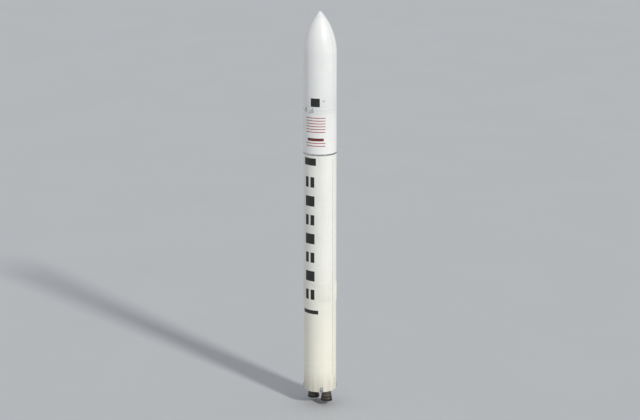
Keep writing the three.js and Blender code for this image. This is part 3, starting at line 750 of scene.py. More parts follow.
def buildJointRing(node, name, body, upward):
    # a machined ring with a bolted band, and a lip towards the joint
    low, high = span(node)
    outer, edge = widest(node), jointRing["edge"]
    knee = low + (high - low) * (jointRing["lip"] if upward else 1 - jointRing["lip"])
    lip = outer - jointRing["step"]
    if upward:
        outside = [(lip, low), (lip, knee), (outer, knee + edge), (outer, high - edge)]
    else:
        outside = [(outer, low + edge), (outer, knee - edge), (lip, knee), (lip, high)]
    shape = Shape()
    wall(shape, outside, bodyRadius - jointRing["wall"])
    middle = (knee + (high if upward else low)) / 2
    boltRow(shape, middle, outer, jointRing["bolts"], 1)
    shape.make(name, [bareMetal, boltMetal], body, "bare_metal", [node])


raceway = {
    "flange": 0.022, "shoulder": 0.014, "thin": 0.005, "slope": 0.15, "endRise": 0.12, "boltGap": 0.15,
    "bolt": (0.0045, 0.005), "boltOut": 0.0035, "strapGap": 1.0, "strapHalf": 0.02, "strapProud": 0.0016,
    "turns": (180, 157.5, 135, 112.5, 90),
}


def buildRaceway(node, name, angle):
    # a long cover over the wiring: a flange each side, a round-shouldered channel, straps
    low, high = span(node)
    nodeLow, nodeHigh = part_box(node)
    half = nodeHigh.y
    proud = max(abs(nodeLow.x), abs(nodeHigh.x)) - bodyRadius
    flange, shoulder, slope, thin = (raceway[key] for key in ("flange", "shoulder", "slope", "thin"))
    section = [(-half, 0.0), (-half, thin - bed), (-half + flange, thin)]
    for turn in map(radians, raceway["turns"]):
        across = -half + flange + shoulder * (1 + cos(turn))
        section.append((across, proud - shoulder * (1 - sin(turn))))
    section += [(-across, lift) for across, lift in reversed(section)]
    shape = Shape()

    def cover(stations, grow=0.0):
        rows = []
        for height, rise in stations:
            row = []
            for across, out in section:
                curve = (bodyRadius - sqrt(bodyRadius**2 - across**2)) * (out <= thin)
                raised = out if out <= thin else thin + (out - thin) * rise
                row.append((bodyRadius + raised + grow - curve, across * (1 + grow * 8), height))
            rows.append(row)
        shape.loft(rows, matrix=Matrix.Rotation(angle, 4, "Z"))

    cover(((low, raceway["endRise"]), (low + slope, 1), (high - slope, 1), (high, raceway["endRise"])))
    straight, strap = high - low - 2 * slope, raceway["strapHalf"]
    straps = int(straight / raceway["strapGap"])
    for index in range(straps + 1):
        middle = low + slope + straight * index / straps
        cover(((middle - strap, 1), (middle + strap, 1)), raceway["strapProud"])
    bolts = int((high - low) / raceway["boltGap"])
    for index in range(bolts):
        height = low + (index + 0.5) * (high - low) / bolts
        for across in (flange / 2 - half, half - flange / 2):
            place = onBody(angle + across / bodyRadius, height, bodyRadius + raceway["boltOut"])
            hexBolt(shape, place, *raceway["bolt"], 1)
    shape.make(name, [coverPaint, boltMetal], "first_stage", "white_paint", [node])


screw = (0.0055, 0.0028)  # radius and height
accessPanel = {
    "proud": 0.0066, "corner": 0.045, "screwGap": 0.055, "screwInset": 0.018, "latches": 2,
    "latchAt": 0.62, "latchTall": 0.030, "latch": (0.018, 0.0085, 0.008, 0.0012), "edge": 0.002,
    "aftHalf": 0.209, "interstageHalf": 0.189, "interstageTurn": 25,
}


def buildAccessPanel(node, name, body, slot, finish, degrees, half):
    # a screwed cover, with flush latches near one side
    low, high = span(node)
    angle, middle, halfTall = radians(degrees), (low + high) / 2, (high - low) / 2
    inset, corner, proud = accessPanel["screwInset"], accessPanel["corner"], accessPanel["proud"]
    shape = Shape()
    curvedPad(shape, angle, low, high, half, proud, corner, accessPanel["edge"])
    for wide, tall, turned in ((half, halfTall, False), (halfTall, half, True)):
        count = int(2 * (wide - inset) / accessPanel["screwGap"])
        for index in range(count + 1):
            along = (wide - corner) * (2 * index / count - 1)
            for side in (inset - tall, tall - inset):
                across, up = (side, along) if turned else (along, side)
                place = onBody(angle + across / bodyRadius, middle + up, bodyRadius + proud - sunk)
                rivet(shape, place, *screw, 1)
    tall, turn = accessPanel["latchTall"], angle + half * accessPanel["latchAt"] / bodyRadius
    for index in range(accessPanel["latches"]):
        height = low + (high - low) * (index + 0.5) / accessPanel["latches"]
        curvedPad(shape, turn, height - tall, height + tall, *accessPanel["latch"], 1)
    shape.make(name, [finish, boltMetal], body, slot, [node])


# sockets are (across, up, radius) from the middle of the plate, all under its rim
umbilicals = {
    "aft_umbilical_plate": {
        "name": "aftUmbilicalPlate", "body": "first_stage",
        "sockets": ((-0.13, 0.11, 0.055), (0.02, 0.12, 0.04), (0.15, 0.10, 0.05), (-0.12, -0.09, 0.07),
                    (0.08, -0.10, 0.06))},
    "upper_umbilical_plate": {
        "name": "upperUmbilicalPlate", "body": "interstage_section",
        "sockets": ((-0.08, 0.07, 0.045), (0.07, 0.08, 0.035), (0.0, -0.08, 0.05))},
}
umbilical = {
    "depth": 0.006, "width": 0.024, "edge": 0.0015, "root": 0.004, "boltInset": 0.016, "bolt": 0.008,
    "studs": 6, "stud": (0.0045, 0.003), "studOut": 0.012, "collar": 0.006,
}


def buildUmbilical(node):
    # a flat carrier plate with a rim, and blank round connectors sunk below it
    recipe = umbilicals[node]
    low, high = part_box(node)
    depth, width, edge, root = (umbilical[key] for key in ("depth", "width", "edge", "root"))
    face = high.y
    back = sqrt(bodyRadius**2 - low.x**2) - root
    shape = Shape()
    inset = Vector((width - root, 0, width - root))
    near, far = Vector((low.x, back, low.z)) + inset, Vector((high.x, face - depth, high.z)) - inset
    roundBox(shape, near, far, 0.002)
    rows = []
    for into, y in ((0, back), (0, face - edge), (edge, face), (width - edge, face), (width, face - edge),
                    (width, face - depth - 0.002)):
        x0, x1, z0, z1 = low.x + into, high.x - into, low.z + into, high.z - into
        rows.append([(x0, y, z0), (x1, y, z0), (x1, y, z1), (x0, y, z1)])
    shape.loft(rows, closed=True, caps=False)

    def facing(x, z):
        return Matrix.Translation((x, face - depth - sunk, z)) @ Matrix.Rotation(-pi / 2, 4, "X")

    for x, up, radius in recipe["sockets"]:
        z, inner = (low.z + high.z) / 2 + up, radius - umbilical["collar"]
        profile = [(0, 0), (radius, 0), (radius, depth), (inner, depth), (inner - 0.003, 0.002), (0, 0.002)]
        revolve(shape, profile, 28, 1, matrix=facing(x, z))
        for stud in range(umbilical["studs"]):
            turn = tau * stud / umbilical["studs"]
            across, along, _ = ringPoint(radius + umbilical["studOut"], turn, 0)
            rivet(shape, facing(x + across, z + along), *umbilical["stud"], 1)
    into = width + umbilical["boltInset"]
    for x in (low.x + into, high.x - into):
        for z in (low.z + into, high.z - into):
            hexBolt(shape, facing(x, z), umbilical["bolt"], depth, 1)
    shape.make(recipe["name"], [coverPaint, boltMetal], recipe["body"], "bare_metal", [node])


holdDown = {"face": 0.0495, "across": (-0.055, 0.055), "up": (0.05, 0.12, 0.175), "bolt": (0.009, 0.007),
            "edge": 0.004}


def buildHoldDowns():
    for index, angle in enumerate(around(4), 1):
        node, name = f"hold_down_bracket_{index}", f"holdDownBracket{index}"
        bevelled(node, name, bareMetal, "first_stage", holdDown["edge"])
        shape = Shape()
        for across in holdDown["across"]:
            for rise in holdDown["up"]:
                place = onBody(angle, rise, bodyRadius + holdDown["face"])
                hexBolt(shape, place @ Matrix.Translation((across, 0, 0)), *holdDown["bolt"])
        shape.make(f"holdDownBolts{index}", [boltMetal], "first_stage", "bare_metal")


# the rim is (out from the aperture, up), the blanket (inset, drop), and shared the stretches
# where an aperture's bolts hold the edge as well
engineX = sum(corner.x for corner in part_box("engine_2_nozzle")) / 2
heatShield = {
    "aperture": 0.345, "sunk": 0.011, "rimBolts": (36, -0.034, 0.0055), "edgeBolts": (60, 0.022, 0.006),
    "rim": ((0.001, 0.002), (0.001, -0.005), (0.008, -0.010), (0.018, -0.005), (0.022, 0.002)),
    "cell": 0.135, "clear": 0.05,
    "blanket": ((0.004, -0.001), (0.006, 0.0028), (0.018, 0.004), (0.039, 0.0054)),
    "shared": [(angle, 0.23) for angle in (0, pi)],
}


def buildHeatShield():
    # a coated disc with two apertures, a rim round each, and stitched blankets between
    foot, high = span("base_heat_shield")
    low, outer, aperture = foot + heatShield["sunk"], widest("base_heat_shield"), heatShield["aperture"]
    centres = [(-engineX, 0), (engineX, 0)]
    work = bmesh.new()
    edges = []
    for line in (circle(outer, 96, low), *(circle(aperture, 72, low, centre) for centre in centres)):
        verts = [work.verts.new(point) for point in line]
        edges += [work.edges.new((vert, verts[index - 1])) for index, vert in enumerate(verts)]
    bmesh.ops.triangle_fill(work, edges=edges, use_beauty=True)
    for element in bmesh.ops.extrude_face_region(work, geom=list(work.faces))["geom"]:
        if isinstance(element, bmesh.types.BMVert):
            element.co.z = high
    shape = Shape()
    shape.take(work)
    rim = shifted(heatShield["rim"], aperture)
    for centre in centres:
        revolve(shape, rim, 72, 1, centre, low)
        boltRow(shape, low, aperture, heatShield["rimBolts"], 2, "down", centre)
    boltRow(shape, low, outer, heatShield["edgeBolts"], 2, "down", skip=heatShield["shared"])
    cell, clear = heatShield["cell"], heatShield["clear"]
    reach = int(outer / cell) + 1
    for column in range(-reach, reach):
        for row in range(-reach, reach):
            corners = [((column + a) * cell, (row + b) * cell) for a in (0, 1) for b in (0, 1)]
            near = min(dist(corner, centre) for corner in corners for centre in centres)
            if near > aperture + clear and max(hypot(*corner) for corner in corners) < outer - clear:
                blanket(shape, *corners[0], cell, low)
    shape.make("baseHeatShield", [shieldCoat, bareMetal, boltMetal], "first_stage", "heat_shield",
               ["base_heat_shield"], sharp=40)


def blanket(shape, x, y, cell, base):
    # one crowned square pad under the shield
    rows = []
    for low, drop in heatShield["blanket"]:
        high = cell - low
        square = ((low, low), (high, low), (high, high), (low, high))
        rows.append([(x + across, y + along, base - drop) for across, along in square])
    shape.loft(rows)


# Engines
def bellProfile(recipe, top, foot):
    # inner wall from throat to exit: a curve that has the two end slopes
    throat, mouth, steps, length = recipe["throat"], recipe["exit"], recipe["steps"], top - foot
    startSlope, endSlope = (tan(radians(angle)) for angle in recipe["angles"])
    bend = (mouth - endSlope * length - throat) / (startSlope - endSlope)
    control = (throat + startSlope * bend, top - bend)
    made = []
    for step in range(steps + 1):
        t = step / steps
        a, b, c = (1 - t) ** 2, 2 * t * (1 - t), t * t
        made.append((a * throat + b * control[0] + c * mouth, a * top + b * control[1] + c * foot))
    return made


def radiusOn(line, height):
    # the radius at a height of a profile that goes up
    if height < line[0][1]:
        return line[0][0]
    for (r0, z0), (r1, z1) in zip(line, line[1:]):
        if z0 <= height <= z1:
            return r0 + (r1 - r0) * (height - z0) / max(z1 - z0, 1e-9)
    return line[-1][0]


# angles are the wall's slopes at throat and exit, a band is (above the exit, tall, proud)
bell = {
    "throat": 0.062, "exit": 0.305, "throatZ": 0.430, "angles": (30, 8), "steps": 40, "wall": 0.010,
    "lip": 0.001, "tubes": 96, "tubeProud": 0.0022, "tubeRows": (0, 0.7, 1, 0.7),
    "bands": ((0.0, 0.016, 0.007), (0.16, 0.012, 0.004), (0.33, 0.020, 0.007), (0.52, 0.012, 0.004),
              (0.70, 0.012, 0.004)),
    "bandRoot": 0.004, "flange": (0.066, 0.100, 0.024), "bolts": (20, 0.012, 0.005),
}


def buildBell(number, x):
    # the outer wall is a row of tubes side by side, the inner wall is smooth
    node = f"engine_{number}_nozzle"
    low, top = span(node)[0], bell["throatZ"]
    inner = bellProfile(bell, top, low + bell["lip"])
    outer = [(radius + bell["wall"], height) for radius, height in reversed(inner)]
    lifts = [(rise - 1) * bell["tubeProud"] for rise in bell["tubeRows"]]
    steps, bands = bell["tubes"] * len(lifts), len(outer)
    rows = []
    for line, wavy in ((outer, 1), (inner, 0)):
        for radius, height in line:
            row = [ringPoint(radius + wavy * lifts[step % 4], tau * step / steps, height)
                   for step in range(steps)]
            rows.append([(spot[0] + x, *spot[1:]) for spot in row])
    shape = Shape()
    shape.loft(rows, [0] * bands + [1] * bands, closed=True, caps=False)
    for above, tall, proud in bell["bands"]:
        height = low + above
        root = radiusOn(outer, height + tall / 2) - bell["bandRoot"] if above else bell["exit"]
        out = radiusOn(outer, height) + proud
        boxRing(shape, root, out, height, height + tall, 96, 2, (0.0015, tall / 4), (x, 0))
    bore, flange, thick = bell["flange"]
    boxRing(shape, bore, flange, top - thick, top, 48, 2, centre=(x, 0))
    boltRow(shape, top - thick, flange, bell["bolts"], 2, "down", (x, 0))
    finishes = [bellSteel, sootMetal, darkSteel]
    shape.make(f"engineBell{number}", finishes, f"engine_{number}", "nozzle_metal", [node])


# profiles are (radius, above the throat), ducts (above the throat, radius), a volute (turn, above
# the throat, radius), bolts (above the throat, ring, bolts, way), feed (out, along, above)
engineHead = {
    "chamber": ((0, 0.0003), (0.100, 0.0003), (0.103, 0.003), (0.104, 0.018), (0.102, 0.021),
                (0.080, 0.029), (0.078, 0.036), (0.078, 0.050), (0.088, 0.068), (0.107, 0.102),
                (0.118, 0.124), (0.124, 0.142), (0.126, 0.165), (0.126, 0.240), (0.148, 0.244),
                (0.150, 0.247), (0.150, 0.268), (0.148, 0.271), (0.120, 0.280), (0.103, 0.300),
                (0.080, 0.318), (0.040, 0.327), (0, 0.330)),
    "pump": ((0, 0.020), (0.037, 0.020), (0.040, 0.023), (0.040, 0.073), (0.060, 0.082), (0.079, 0.094),
             (0.082, 0.100), (0.082, 0.151), (0.078, 0.156), (0.058, 0.170), (0.058, 0.195), (0.078, 0.203),
             (0.080, 0.207), (0.080, 0.252), (0.076, 0.257), (0.050, 0.275), (0.050, 0.308), (0.047, 0.310),
             (0, 0.310)),
    "chamberBolts": ((0.2425, 0.139, (24, 0, 0.005), "down"), (0.0285, 0.090, (20, 0, 0.005), "up")),
    "pumpBolts": (0.2525, 0.069, (14, 0, 0.0045), "up"), "pumpOffset": 0.262,
    "hoops": (0.178, 0.200, 0.222),
    "hoop": ((0.125, -0.004), (0.131, -0.002), (0.131, 0.002), (0.125, 0.004)),
    "volute": (0.062, 0.125, 0.022), "ducts": ((0.1325, 0.027), (0.279, 0.019)), "ductStart": 0.07,
    "collars": ((0.148, 0.156), (0.162, 0.170)), "collarProud": 0.010, "feedRadius": 0.014,
    "feed": ((0.060, 0.0, 0.130), (0.118, 0.0, 0.130), (0.148, -0.030, 0.128), (0.158, -0.085, 0.110),
             (0.146, -0.145, 0.072), (0.108, -0.205, 0.042), (0.075, -0.240, 0.040)),
    "yoke": (0.090, 0.160, 0.315, 0.350), "earHalf": 0.060, "ear": (0.075, 0.105), "bore": 0.0215,
}


def buildEngineHead(number, x):
    # chamber, injector, two pumps with their ducts, and the yoke that hangs on the gimbal
    recipe, base = engineHead, bell["throatZ"]
    shape = Shape()
    revolve(shape, recipe["chamber"], 48, 0, (x, 0), base)
    for up, ring, bolts, way in recipe["chamberBolts"]:
        boltRow(shape, base + up, ring, bolts, 2, way, (x, 0))
    for up in recipe["hoops"]:
        revolve(shape, recipe["hoop"], 48, 0, (x, 0), base + up)
    for side in (-1, 1):
        y = side * recipe["pumpOffset"]
        revolve(shape, recipe["pump"], 36, 1, (x, y), base)
        up, ring, bolts, way = recipe["pumpBolts"]
        boltRow(shape, base + up, ring, bolts, 2, way, (x, y))
        out, up, radius = recipe["volute"]
        path = [Vector(ringPoint(out, radians(15 * step), base + up)) for step in range(23)]
        pipe(shape, [spot + Vector((x, y, 0)) for spot in path], radius, 12, 1)
        for up, radius in recipe["ducts"]:
            pipe(shape, [(x, side * recipe["ductStart"], base + up), (x, y, base + up)], radius, 18, 1)
            for ends in recipe["collars"]:
                collar = [(x, side * end, base + up) for end in ends]
                pipe(shape, collar, radius + recipe["collarProud"], 24, 0)
        feed = [(x + side * across, y + side * along, base + up) for across, along, up in recipe["feed"]]
        pipe(shape, feed, recipe["feedRadius"], 12, 0)
    halfX, halfY, foot, top = recipe["yoke"]
    roundBox(shape, (x - halfX, -halfY, base + foot), (x + halfX, halfY, base + top), 0.005, 1)
    pivot, half = jointPlace(f"engine_{number}_pitch")[2], recipe["earHalf"]
    for side in (-1, 1):
        near, far = (side * edge for edge in recipe["ear"])
        lug(shape, (x, 0, pivot), half, pivot - base - top + 0.005, half, recipe["bore"], near, far, "y", 1)
    shape.make(f"engineHead{number}", [darkSteel, pumpMetal, boltMetal], f"engine_{number}", "engine_metal",
               [f"engine_{number}_head"])


# Interstage and upper stage. Frames are stations on the inside
halfway = (span("interstage")[1] - span("interstage")[0]) / 2
interstage = {
    "node": "interstage", "name": "interstageShell", "finishes": [fairingPaint, primedMetal, backingCloth],
    "inside": 2, "body": "interstage_section", "slot": "white_composite",
    "beads": ((0.03, 0.04, 0.003), (-0.03, 0.045, 0.004)), "grooves": ((halfway, 0.006, 0.0015),),
    "rows": (0.065, halfway - 0.022, halfway + 0.022, -0.068), "rivets": 108, "size": 0.004,
    "seams": [(angle, 0.08, -0.09) for angle in around(4)], "seam": (0.03, 0.0014),
    "frames": (13.900, 14.600), "frameTall": 0.024, "frameDeep": 0.030, "frameLap": 0.004,
    "frameFoot": (0.005, 0.022),
}


def interstageFrames(shape):
    # inside the wall at two stations: Z-shaped, with a foot on the skin
    inner, lap, (out, above) = bodyRadius - skin, interstage["frameLap"], interstage["frameFoot"]
    for foot in interstage["frames"]:
        top = foot + interstage["frameTall"]
        boxRing(shape, inner - interstage["frameDeep"], inner + lap, foot, top, paint=1)
        boxRing(shape, inner - lap, inner + out, top - lap, top + above, paint=1, broken=(0.001, 0.001))


adapterRing = {
    "node": "fairing_adapter_ring", "name": "fairingAdapterRing", "finishes": [fairingPaint, boltMetal],
    "body": "upper_stage", "slot": "white_composite", "inside": 0,
    "inner": widest("payload_deck") + hairline / 2, "beads": ((-0.02, 0.026, 0.003),),
    "grooves": ((0.03, 0.006, 0.002),), "bolts": (96, 0, 0.005), "boltShare": 0.55,
}


def adapterBolts(shape):
    low, high = span("fairing_adapter_ring")
    height = low + (high - low) * adapterRing["boltShare"]
    boltRow(shape, height, bodyRadius, adapterRing["bolts"], 1)


# the cone's and the plate's profiles are (out, up) from their lower and upper edges, the cone's
# ring is (out from the hole, out from the wall), and share is where it is between foot and top
payloadSupport = {
    "ribs": 24, "ribInset": 0.02, "rib": (0.005, 0.002, 0.0035), "deckBolts": (60, 0.014, 0.005),
    "deckEdge": 0.003, "top": 0.300, "coneBolts": (48, 0.011, 0.005), "coneBoltsUp": 0.0185,
    "coneFoot": ((-0.045, 0.018), (-0.045, 0), (0, 0), (0, 0.014), (-0.004, 0.018), (-0.022, 0.020),
                 (-0.03, 0.034)),
    "coneTop": ((0.006, -0.03), (0.010, -0.016), (0.010, 0), (-0.020, 0), (-0.018, -0.02)),
    "rings": 8, "share": 0.45, "hole": 0.045, "blankOver": 0.0005,
    "ring": ((0, -0.01), (0.011, -0.01), (0.011, 0.004), (0.007, 0.006), (0, 0.004)),
    "plateFoot": ((-0.006, 0), (-0.002, 0.006), (-0.010, 0.012)),
    "plateTop": ((-0.010, -0.012), (-0.002, -0.006), (-0.002, -0.001), (-0.003, 0)),
}


def buildPayloadDeck():
    low, high = span("payload_deck")
    edge, foot = widest("payload_deck"), widest("payload_cone")
    inset, broken = payloadSupport["ribInset"], payloadSupport["deckEdge"]
    shape = Shape()
    revolve(shape, [(0, low), (edge - broken, low), (edge, low + broken), (edge, high), (0, high)], 96)
    half, under, over = payloadSupport["rib"]
    near, far = (foot + inset, -half, high - under), (edge - inset, half, high + over)
    for angle in around(payloadSupport["ribs"]):
        roundBox(shape, near, far, 0.001, 0, Matrix.Rotation(angle, 4, "Z"))
    boltRow(shape, high, edge, payloadSupport["deckBolts"], 1, "up")
    shape.make("payloadDeck", [primedMetal, boltMetal], "upper_stage", "frame_metal", ["payload_deck"])


def buildPayloadCone():
    low, high = span("payload_cone")
    top, share, hole = (payloadSupport[key] for key in ("top", "share", "hole"))
    foot = widest("payload_cone")
    lower = shifted(payloadSupport["coneFoot"], foot, low)
    upper = shifted(payloadSupport["coneTop"], top, high)
    shape = Shape()
    revolve(shape, lower + upper, 96)
    boltRow(shape, low + payloadSupport["coneBoltsUp"], foot, payloadSupport["coneBolts"], 1, "up")
    tilt = Matrix.Rotation(-atan2(foot - top, high - low), 4, "X")
    radius, height = (start + (end - start) * share for start, end in zip(lower[-1], upper[0]))
    blank = hole + payloadSupport["blankOver"]
    for angle in around(payloadSupport["rings"]):
        place = onBody(angle, height, radius) @ tilt
        revolve(shape, shifted(payloadSupport["ring"], hole), 32, 1, matrix=place)
        revolve(shape, [(0, -0.01), (blank, -0.01), (blank, 0.001), (0, 0.001)], 32, matrix=place)
    shape.make("payloadCone", [coneCarbon, bareMetal], "upper_stage", "dark_composite", ["payload_cone"])


def buildPayloadPlate():
    low, high = span("payload_plate")
    rim = widest("payload_plate")
    side = shifted(payloadSupport["plateFoot"], rim, low) + shifted(payloadSupport["plateTop"], rim, high)
    shape = Shape()
    revolve(shape, [(0, low)] + side + [(0, high)], 96)
    shape.make("payloadPlate", [bareMetal], "upper_stage", "bare_metal", ["payload_plate"])


# dome and barrel are above the pivot, skirt is from the adapter's foot to the top of the barrel
motorPivot = jointPlace("motor_nozzle_pitch")[2]
motor = {
    "dome": 0.036, "barrel": 0.306, "skirt": 0.110, "collar": (0.002, 0.004, 0.06),
    "boss": ((0.170, 0.060), (0.170, 0.002), (0.174, -0.001), (0.206, 0.004), (0.214, 0.012),
             (0.214, 0.060)),
    "bossRing": (0.0025, 0.190), "bossBolts": (40, 0, 0.0045), "ears": [(angle, 0.24) for angle in (0, pi)],
    "ear": (0.172, 0.196), "earHalf": 0.028, "earTop": 0.086, "bore": 0.0092, "pin": 0.008,
}


def buildMotor():
    top, radius = span("motor_case")[1], widest("motor_case")
    crown, barrelLow = motorPivot + motor["dome"], motorPivot + motor["barrel"]
    upper = domeProfile(radius, span("motor_adapter")[0] + motor["skirt"], top)
    shape = Shape()
    revolve(shape, domeProfile(radius, barrelLow, crown)[::-1] + upper, 112)
    under, over, tall = motor["collar"]
    boxRing(shape, radius - under, radius + over, barrelLow, barrelLow + tall, 112, 1)
    revolve(shape, motor["boss"], 64, 1, base=crown)
    up, ring = motor["bossRing"]
    boltRow(shape, crown + up, ring, motor["bossBolts"], 2, "down", skip=motor["ears"])
    half = motor["earHalf"]
    for side in (-1, 1):
        near, far = (side * edge for edge in motor["ear"])
        lug(shape, (0, 0, motorPivot), half, half, motor["earTop"], motor["bore"], near, far, "x", 1)
    shape.make("motorCase", [woundCarbon, bareMetal, boltMetal], "upper_stage", "dark_composite",
               ["motor_case"])


# lip is (out from the wall, above the exit), gap the angle where the ring's bored blocks sit,
# ring sizes are inner and outer radius, and half height
motorNozzle = {
    "throat": 0.075, "exit": 0.300, "angles": (27, 11), "steps": 30, "wall": 0.012,
    "lip": ((0.006, 0), (0.008, 0.003), (0.006, 0.014), (-0.006, 0.014)),
    "neck": 0.105, "neckBore": 0.072, "neckTop": 0.018, "neckFoot": -0.044, "neckPin": 0.150,
    "ring": (0.125, 0.160, 0.016), "block": 0.026, "gap": 0.15, "casePin": 0.192,
    "ringBolts": (16, 0.0175, 0.004), "clear": [(angle, 0.3) for angle in (pi / 2, -pi / 2)],
}


def buildMotorNozzle():
    recipe, low = motorNozzle, span("motor_nozzle")[0]
    foot, top, neck, bore = (recipe[key] for key in ("neckFoot", "neckTop", "neck", "neckBore"))
    inner = bellProfile(recipe, motorPivot + foot, low + 0.001)
    outer = [(radius + recipe["wall"], height) for radius, height in reversed(inner)]
    bands, lip = len(outer), outer[0][0]
    shape = Shape()
    revolve(shape, outer + inner, 96, [0] * bands + [1] * bands)
    revolve(shape, [(recipe["exit"], 0)] + shifted(recipe["lip"], lip), 96, 2, base=low)
    revolve(shape, [(bore, top), (bore, foot - 0.010), (neck - 0.007, foot - 0.010), (neck, foot - 0.002),
                    (neck, top - 0.004), (neck - 0.004, top)], 64, 2, base=motorPivot)
    for side in (-1, 1):
        ends = [(0, side * (neck - 0.005), motorPivot), (0, side * recipe["neckPin"], motorPivot)]
        pipe(shape, ends, motor["pin"], 24, 2)
    shape.make("motorNozzle", [tanWrap, sootMetal, bareMetal], "motor_nozzle_body", "dark_composite",
               ["motor_nozzle"])


def buildNozzleRing():
    near, far, half = motorNozzle["ring"]
    shape = Shape()
    section = [(near, 0.002 - half), (near + 0.002, -half), (far - 0.003, -half), (far, 0.003 - half)]
    section += [(radius, -up) for radius, up in section[::-1]]
    section = [(radius, motorPivot + up) for radius, up in section]
    reach = pi / 2 - motorNozzle["gap"]
    for turn in (0, pi):
        sweepArc(shape, section, turn - reach, turn + reach, 32)
        side = cos(turn)
        centre, edges = (0, 0, motorPivot), (side * near, side * far)
        lug(shape, centre, motorNozzle["block"], half, half, motor["bore"], *edges, "y")
        ends = [(side * (near + 0.01), 0, motorPivot), (side * motorNozzle["casePin"], 0, motorPivot)]
        pipe(shape, ends, motor["pin"], 24)
    boltRow(shape, motorPivot + half, far, motorNozzle["ringBolts"], 1, "up", skip=motorNozzle["clear"])
    shape.make("motorNozzleRing", [bareMetal, boltMetal], "motor_nozzle_ring_body", "bare_metal",
               ["motor_nozzle_ring"])


# a rib's section is (across, out)
motorAdapter = {
    "wall": 0.014, "ribs": 36, "rim": 0.060, "footBoltsUp": 0.025, "footBolts": (48, 0, 0.005),
    "rimBoltsDown": 0.028, "rimBolts": (72, 0, 0.0045),
    "rib": ((-0.006, -0.003), (-0.004, 0.010), (0.004, 0.010), (0.006, -0.003)),
}


def buildMotorAdapter():
    low, high = span("motor_adapter")
    top, inner = widest("motor_adapter"), widest("motor_case") + hairline / 2
    foot, knee, rim = inner + motorAdapter["wall"], low + motor["skirt"], motorAdapter["rim"]
    shape = Shape()
    revolve(shape, [(inner, low), (foot, low), (foot, knee), (top - 0.002, high - rim - 0.002),
                    (top, high - rim + 0.002), (top, high), (top - rim, high),
                    (top - rim, high - rim + 0.020), (inner, knee + 0.024)], 112)
    start, end = Vector((foot, 0, knee + 0.01)), Vector((top - 0.012, 0, high - rim - 0.015))
    along = (end - start).normalized()
    normal = Vector((along.z, 0, -along.x))
    rows = [[at + normal * lift + Vector((0, across, 0)) for across, lift in motorAdapter["rib"]]
            for at in (start, end)]
    for angle in around(motorAdapter["ribs"]):
        shape.loft(rows, matrix=Matrix.Rotation(angle, 4, "Z"))
    boltRow(shape, low + motorAdapter["footBoltsUp"], foot, motorAdapter["footBolts"], 1)
    boltRow(shape, high - motorAdapter["rimBoltsDown"], top, motorAdapter["rimBolts"], 1)
    shape.make("motorAdapter", [primedMetal, boltMetal], "upper_stage", "frame_metal", ["motor_adapter"])


# Fairing. barrel is the levels of its skin's rows below the ogive, foot the lifts of the first
fairing = {
    "wall": 0.026, "tip": 0.095, "ogiveStart": 18.4, "seam": 0.003, "steps": 72, "cap": 15,
    "ribDeep": 0.026, "ribWide": 0.040, "ribEdge": 0.002, "ribLap": 0.004, "ribEnd": 0.005,
    "baseScrews": 54, "baseScrewUp": 0.032, "frameBolts": 36, "frameBolt": (0.006, 0.003),
    "strapEnds": (0.085, 0.02),
    "barrel": (0, 0.004, 0.06, 0.065, 0.075, 0.9, 1.75, 2.2), "foot": (-0.004, 0, 0, -0.0025),
    "seamScrews": {"start": 0.12, "end": 0.6, "pitch": 0.075, "inset": 0.020, "near": 0.02},
    "vent": {"up": 0.42, "half": 0.085, "tall": 0.11, "angles": (38, 142), "slats": 4, "pitch": 0.022,
             "slatTall": 0.010, "cover": (0.006, 0.02, 0.002), "slat": (0.063, 0.010, 0.004, 0.0015, 1)},
    "strap": ((0.0035, -0.002), (0.0035, 0.0015), (0.034, 0.0015), (0.037, -0.002)),
    "liner": {"foot": 0.16, "top": 0.35, "rows": 6, "columns": 6, "gap": 0.008, "side": 0.06, "end": 0.03},
    "padRim": 0.14, "padEdge": 0.003, "padCrown": 0.013, "padRoot": 0.004,
    "padShares": (0, 0.015, 0.045, 0.09, 0.14, 0.5, 0.86, 0.91, 0.955, 0.985, 1),
}


def ogive(baseRadius, tip, tipRadius, steps=44, tipSteps=8):
    # a tangent ogive with a round tip, from its base up
    start = fairing["ogiveStart"]
    length = tip - start
    arcRadius = (baseRadius**2 + length**2) / (2 * baseRadius)
    tipCentre = sqrt((arcRadius - tipRadius) ** 2 - (arcRadius - baseRadius) ** 2)
    stretch = length / (tipCentre + tipRadius)
    meet = tipRadius * (arcRadius - baseRadius) / (arcRadius - tipRadius)
    meetHeight = tipCentre + sqrt(tipRadius**2 - meet**2)
    made = []
    for step in range(steps + 1):
        height = meetHeight * step / steps
        made.append((sqrt(arcRadius**2 - height**2) + baseRadius - arcRadius, start + height * stretch))
    startAngle = asin(meet / tipRadius)
    for step in range(1, tipSteps + 1):
        angle = startAngle * (1 - step / tipSteps)
        radius = 0 if step == tipSteps else tipRadius * sin(angle)
        made.append((radius, start + (tipCentre + tipRadius * cos(angle)) * stretch))
    return made


def fairingLine(low, high, depth, foot=()):
    # the fairing's profile at some depth below its skin, with lifts of the first rows
    lifts = [*foot] + [0] * (len(fairing["barrel"]) - len(foot))
    line = [(bodyRadius - depth + lift, low + up) for up, lift in zip(fairing["barrel"], lifts)]
    return line + ogive(bodyRadius - depth, high - 3 * depth, fairing["tip"] - 0.75 * depth)


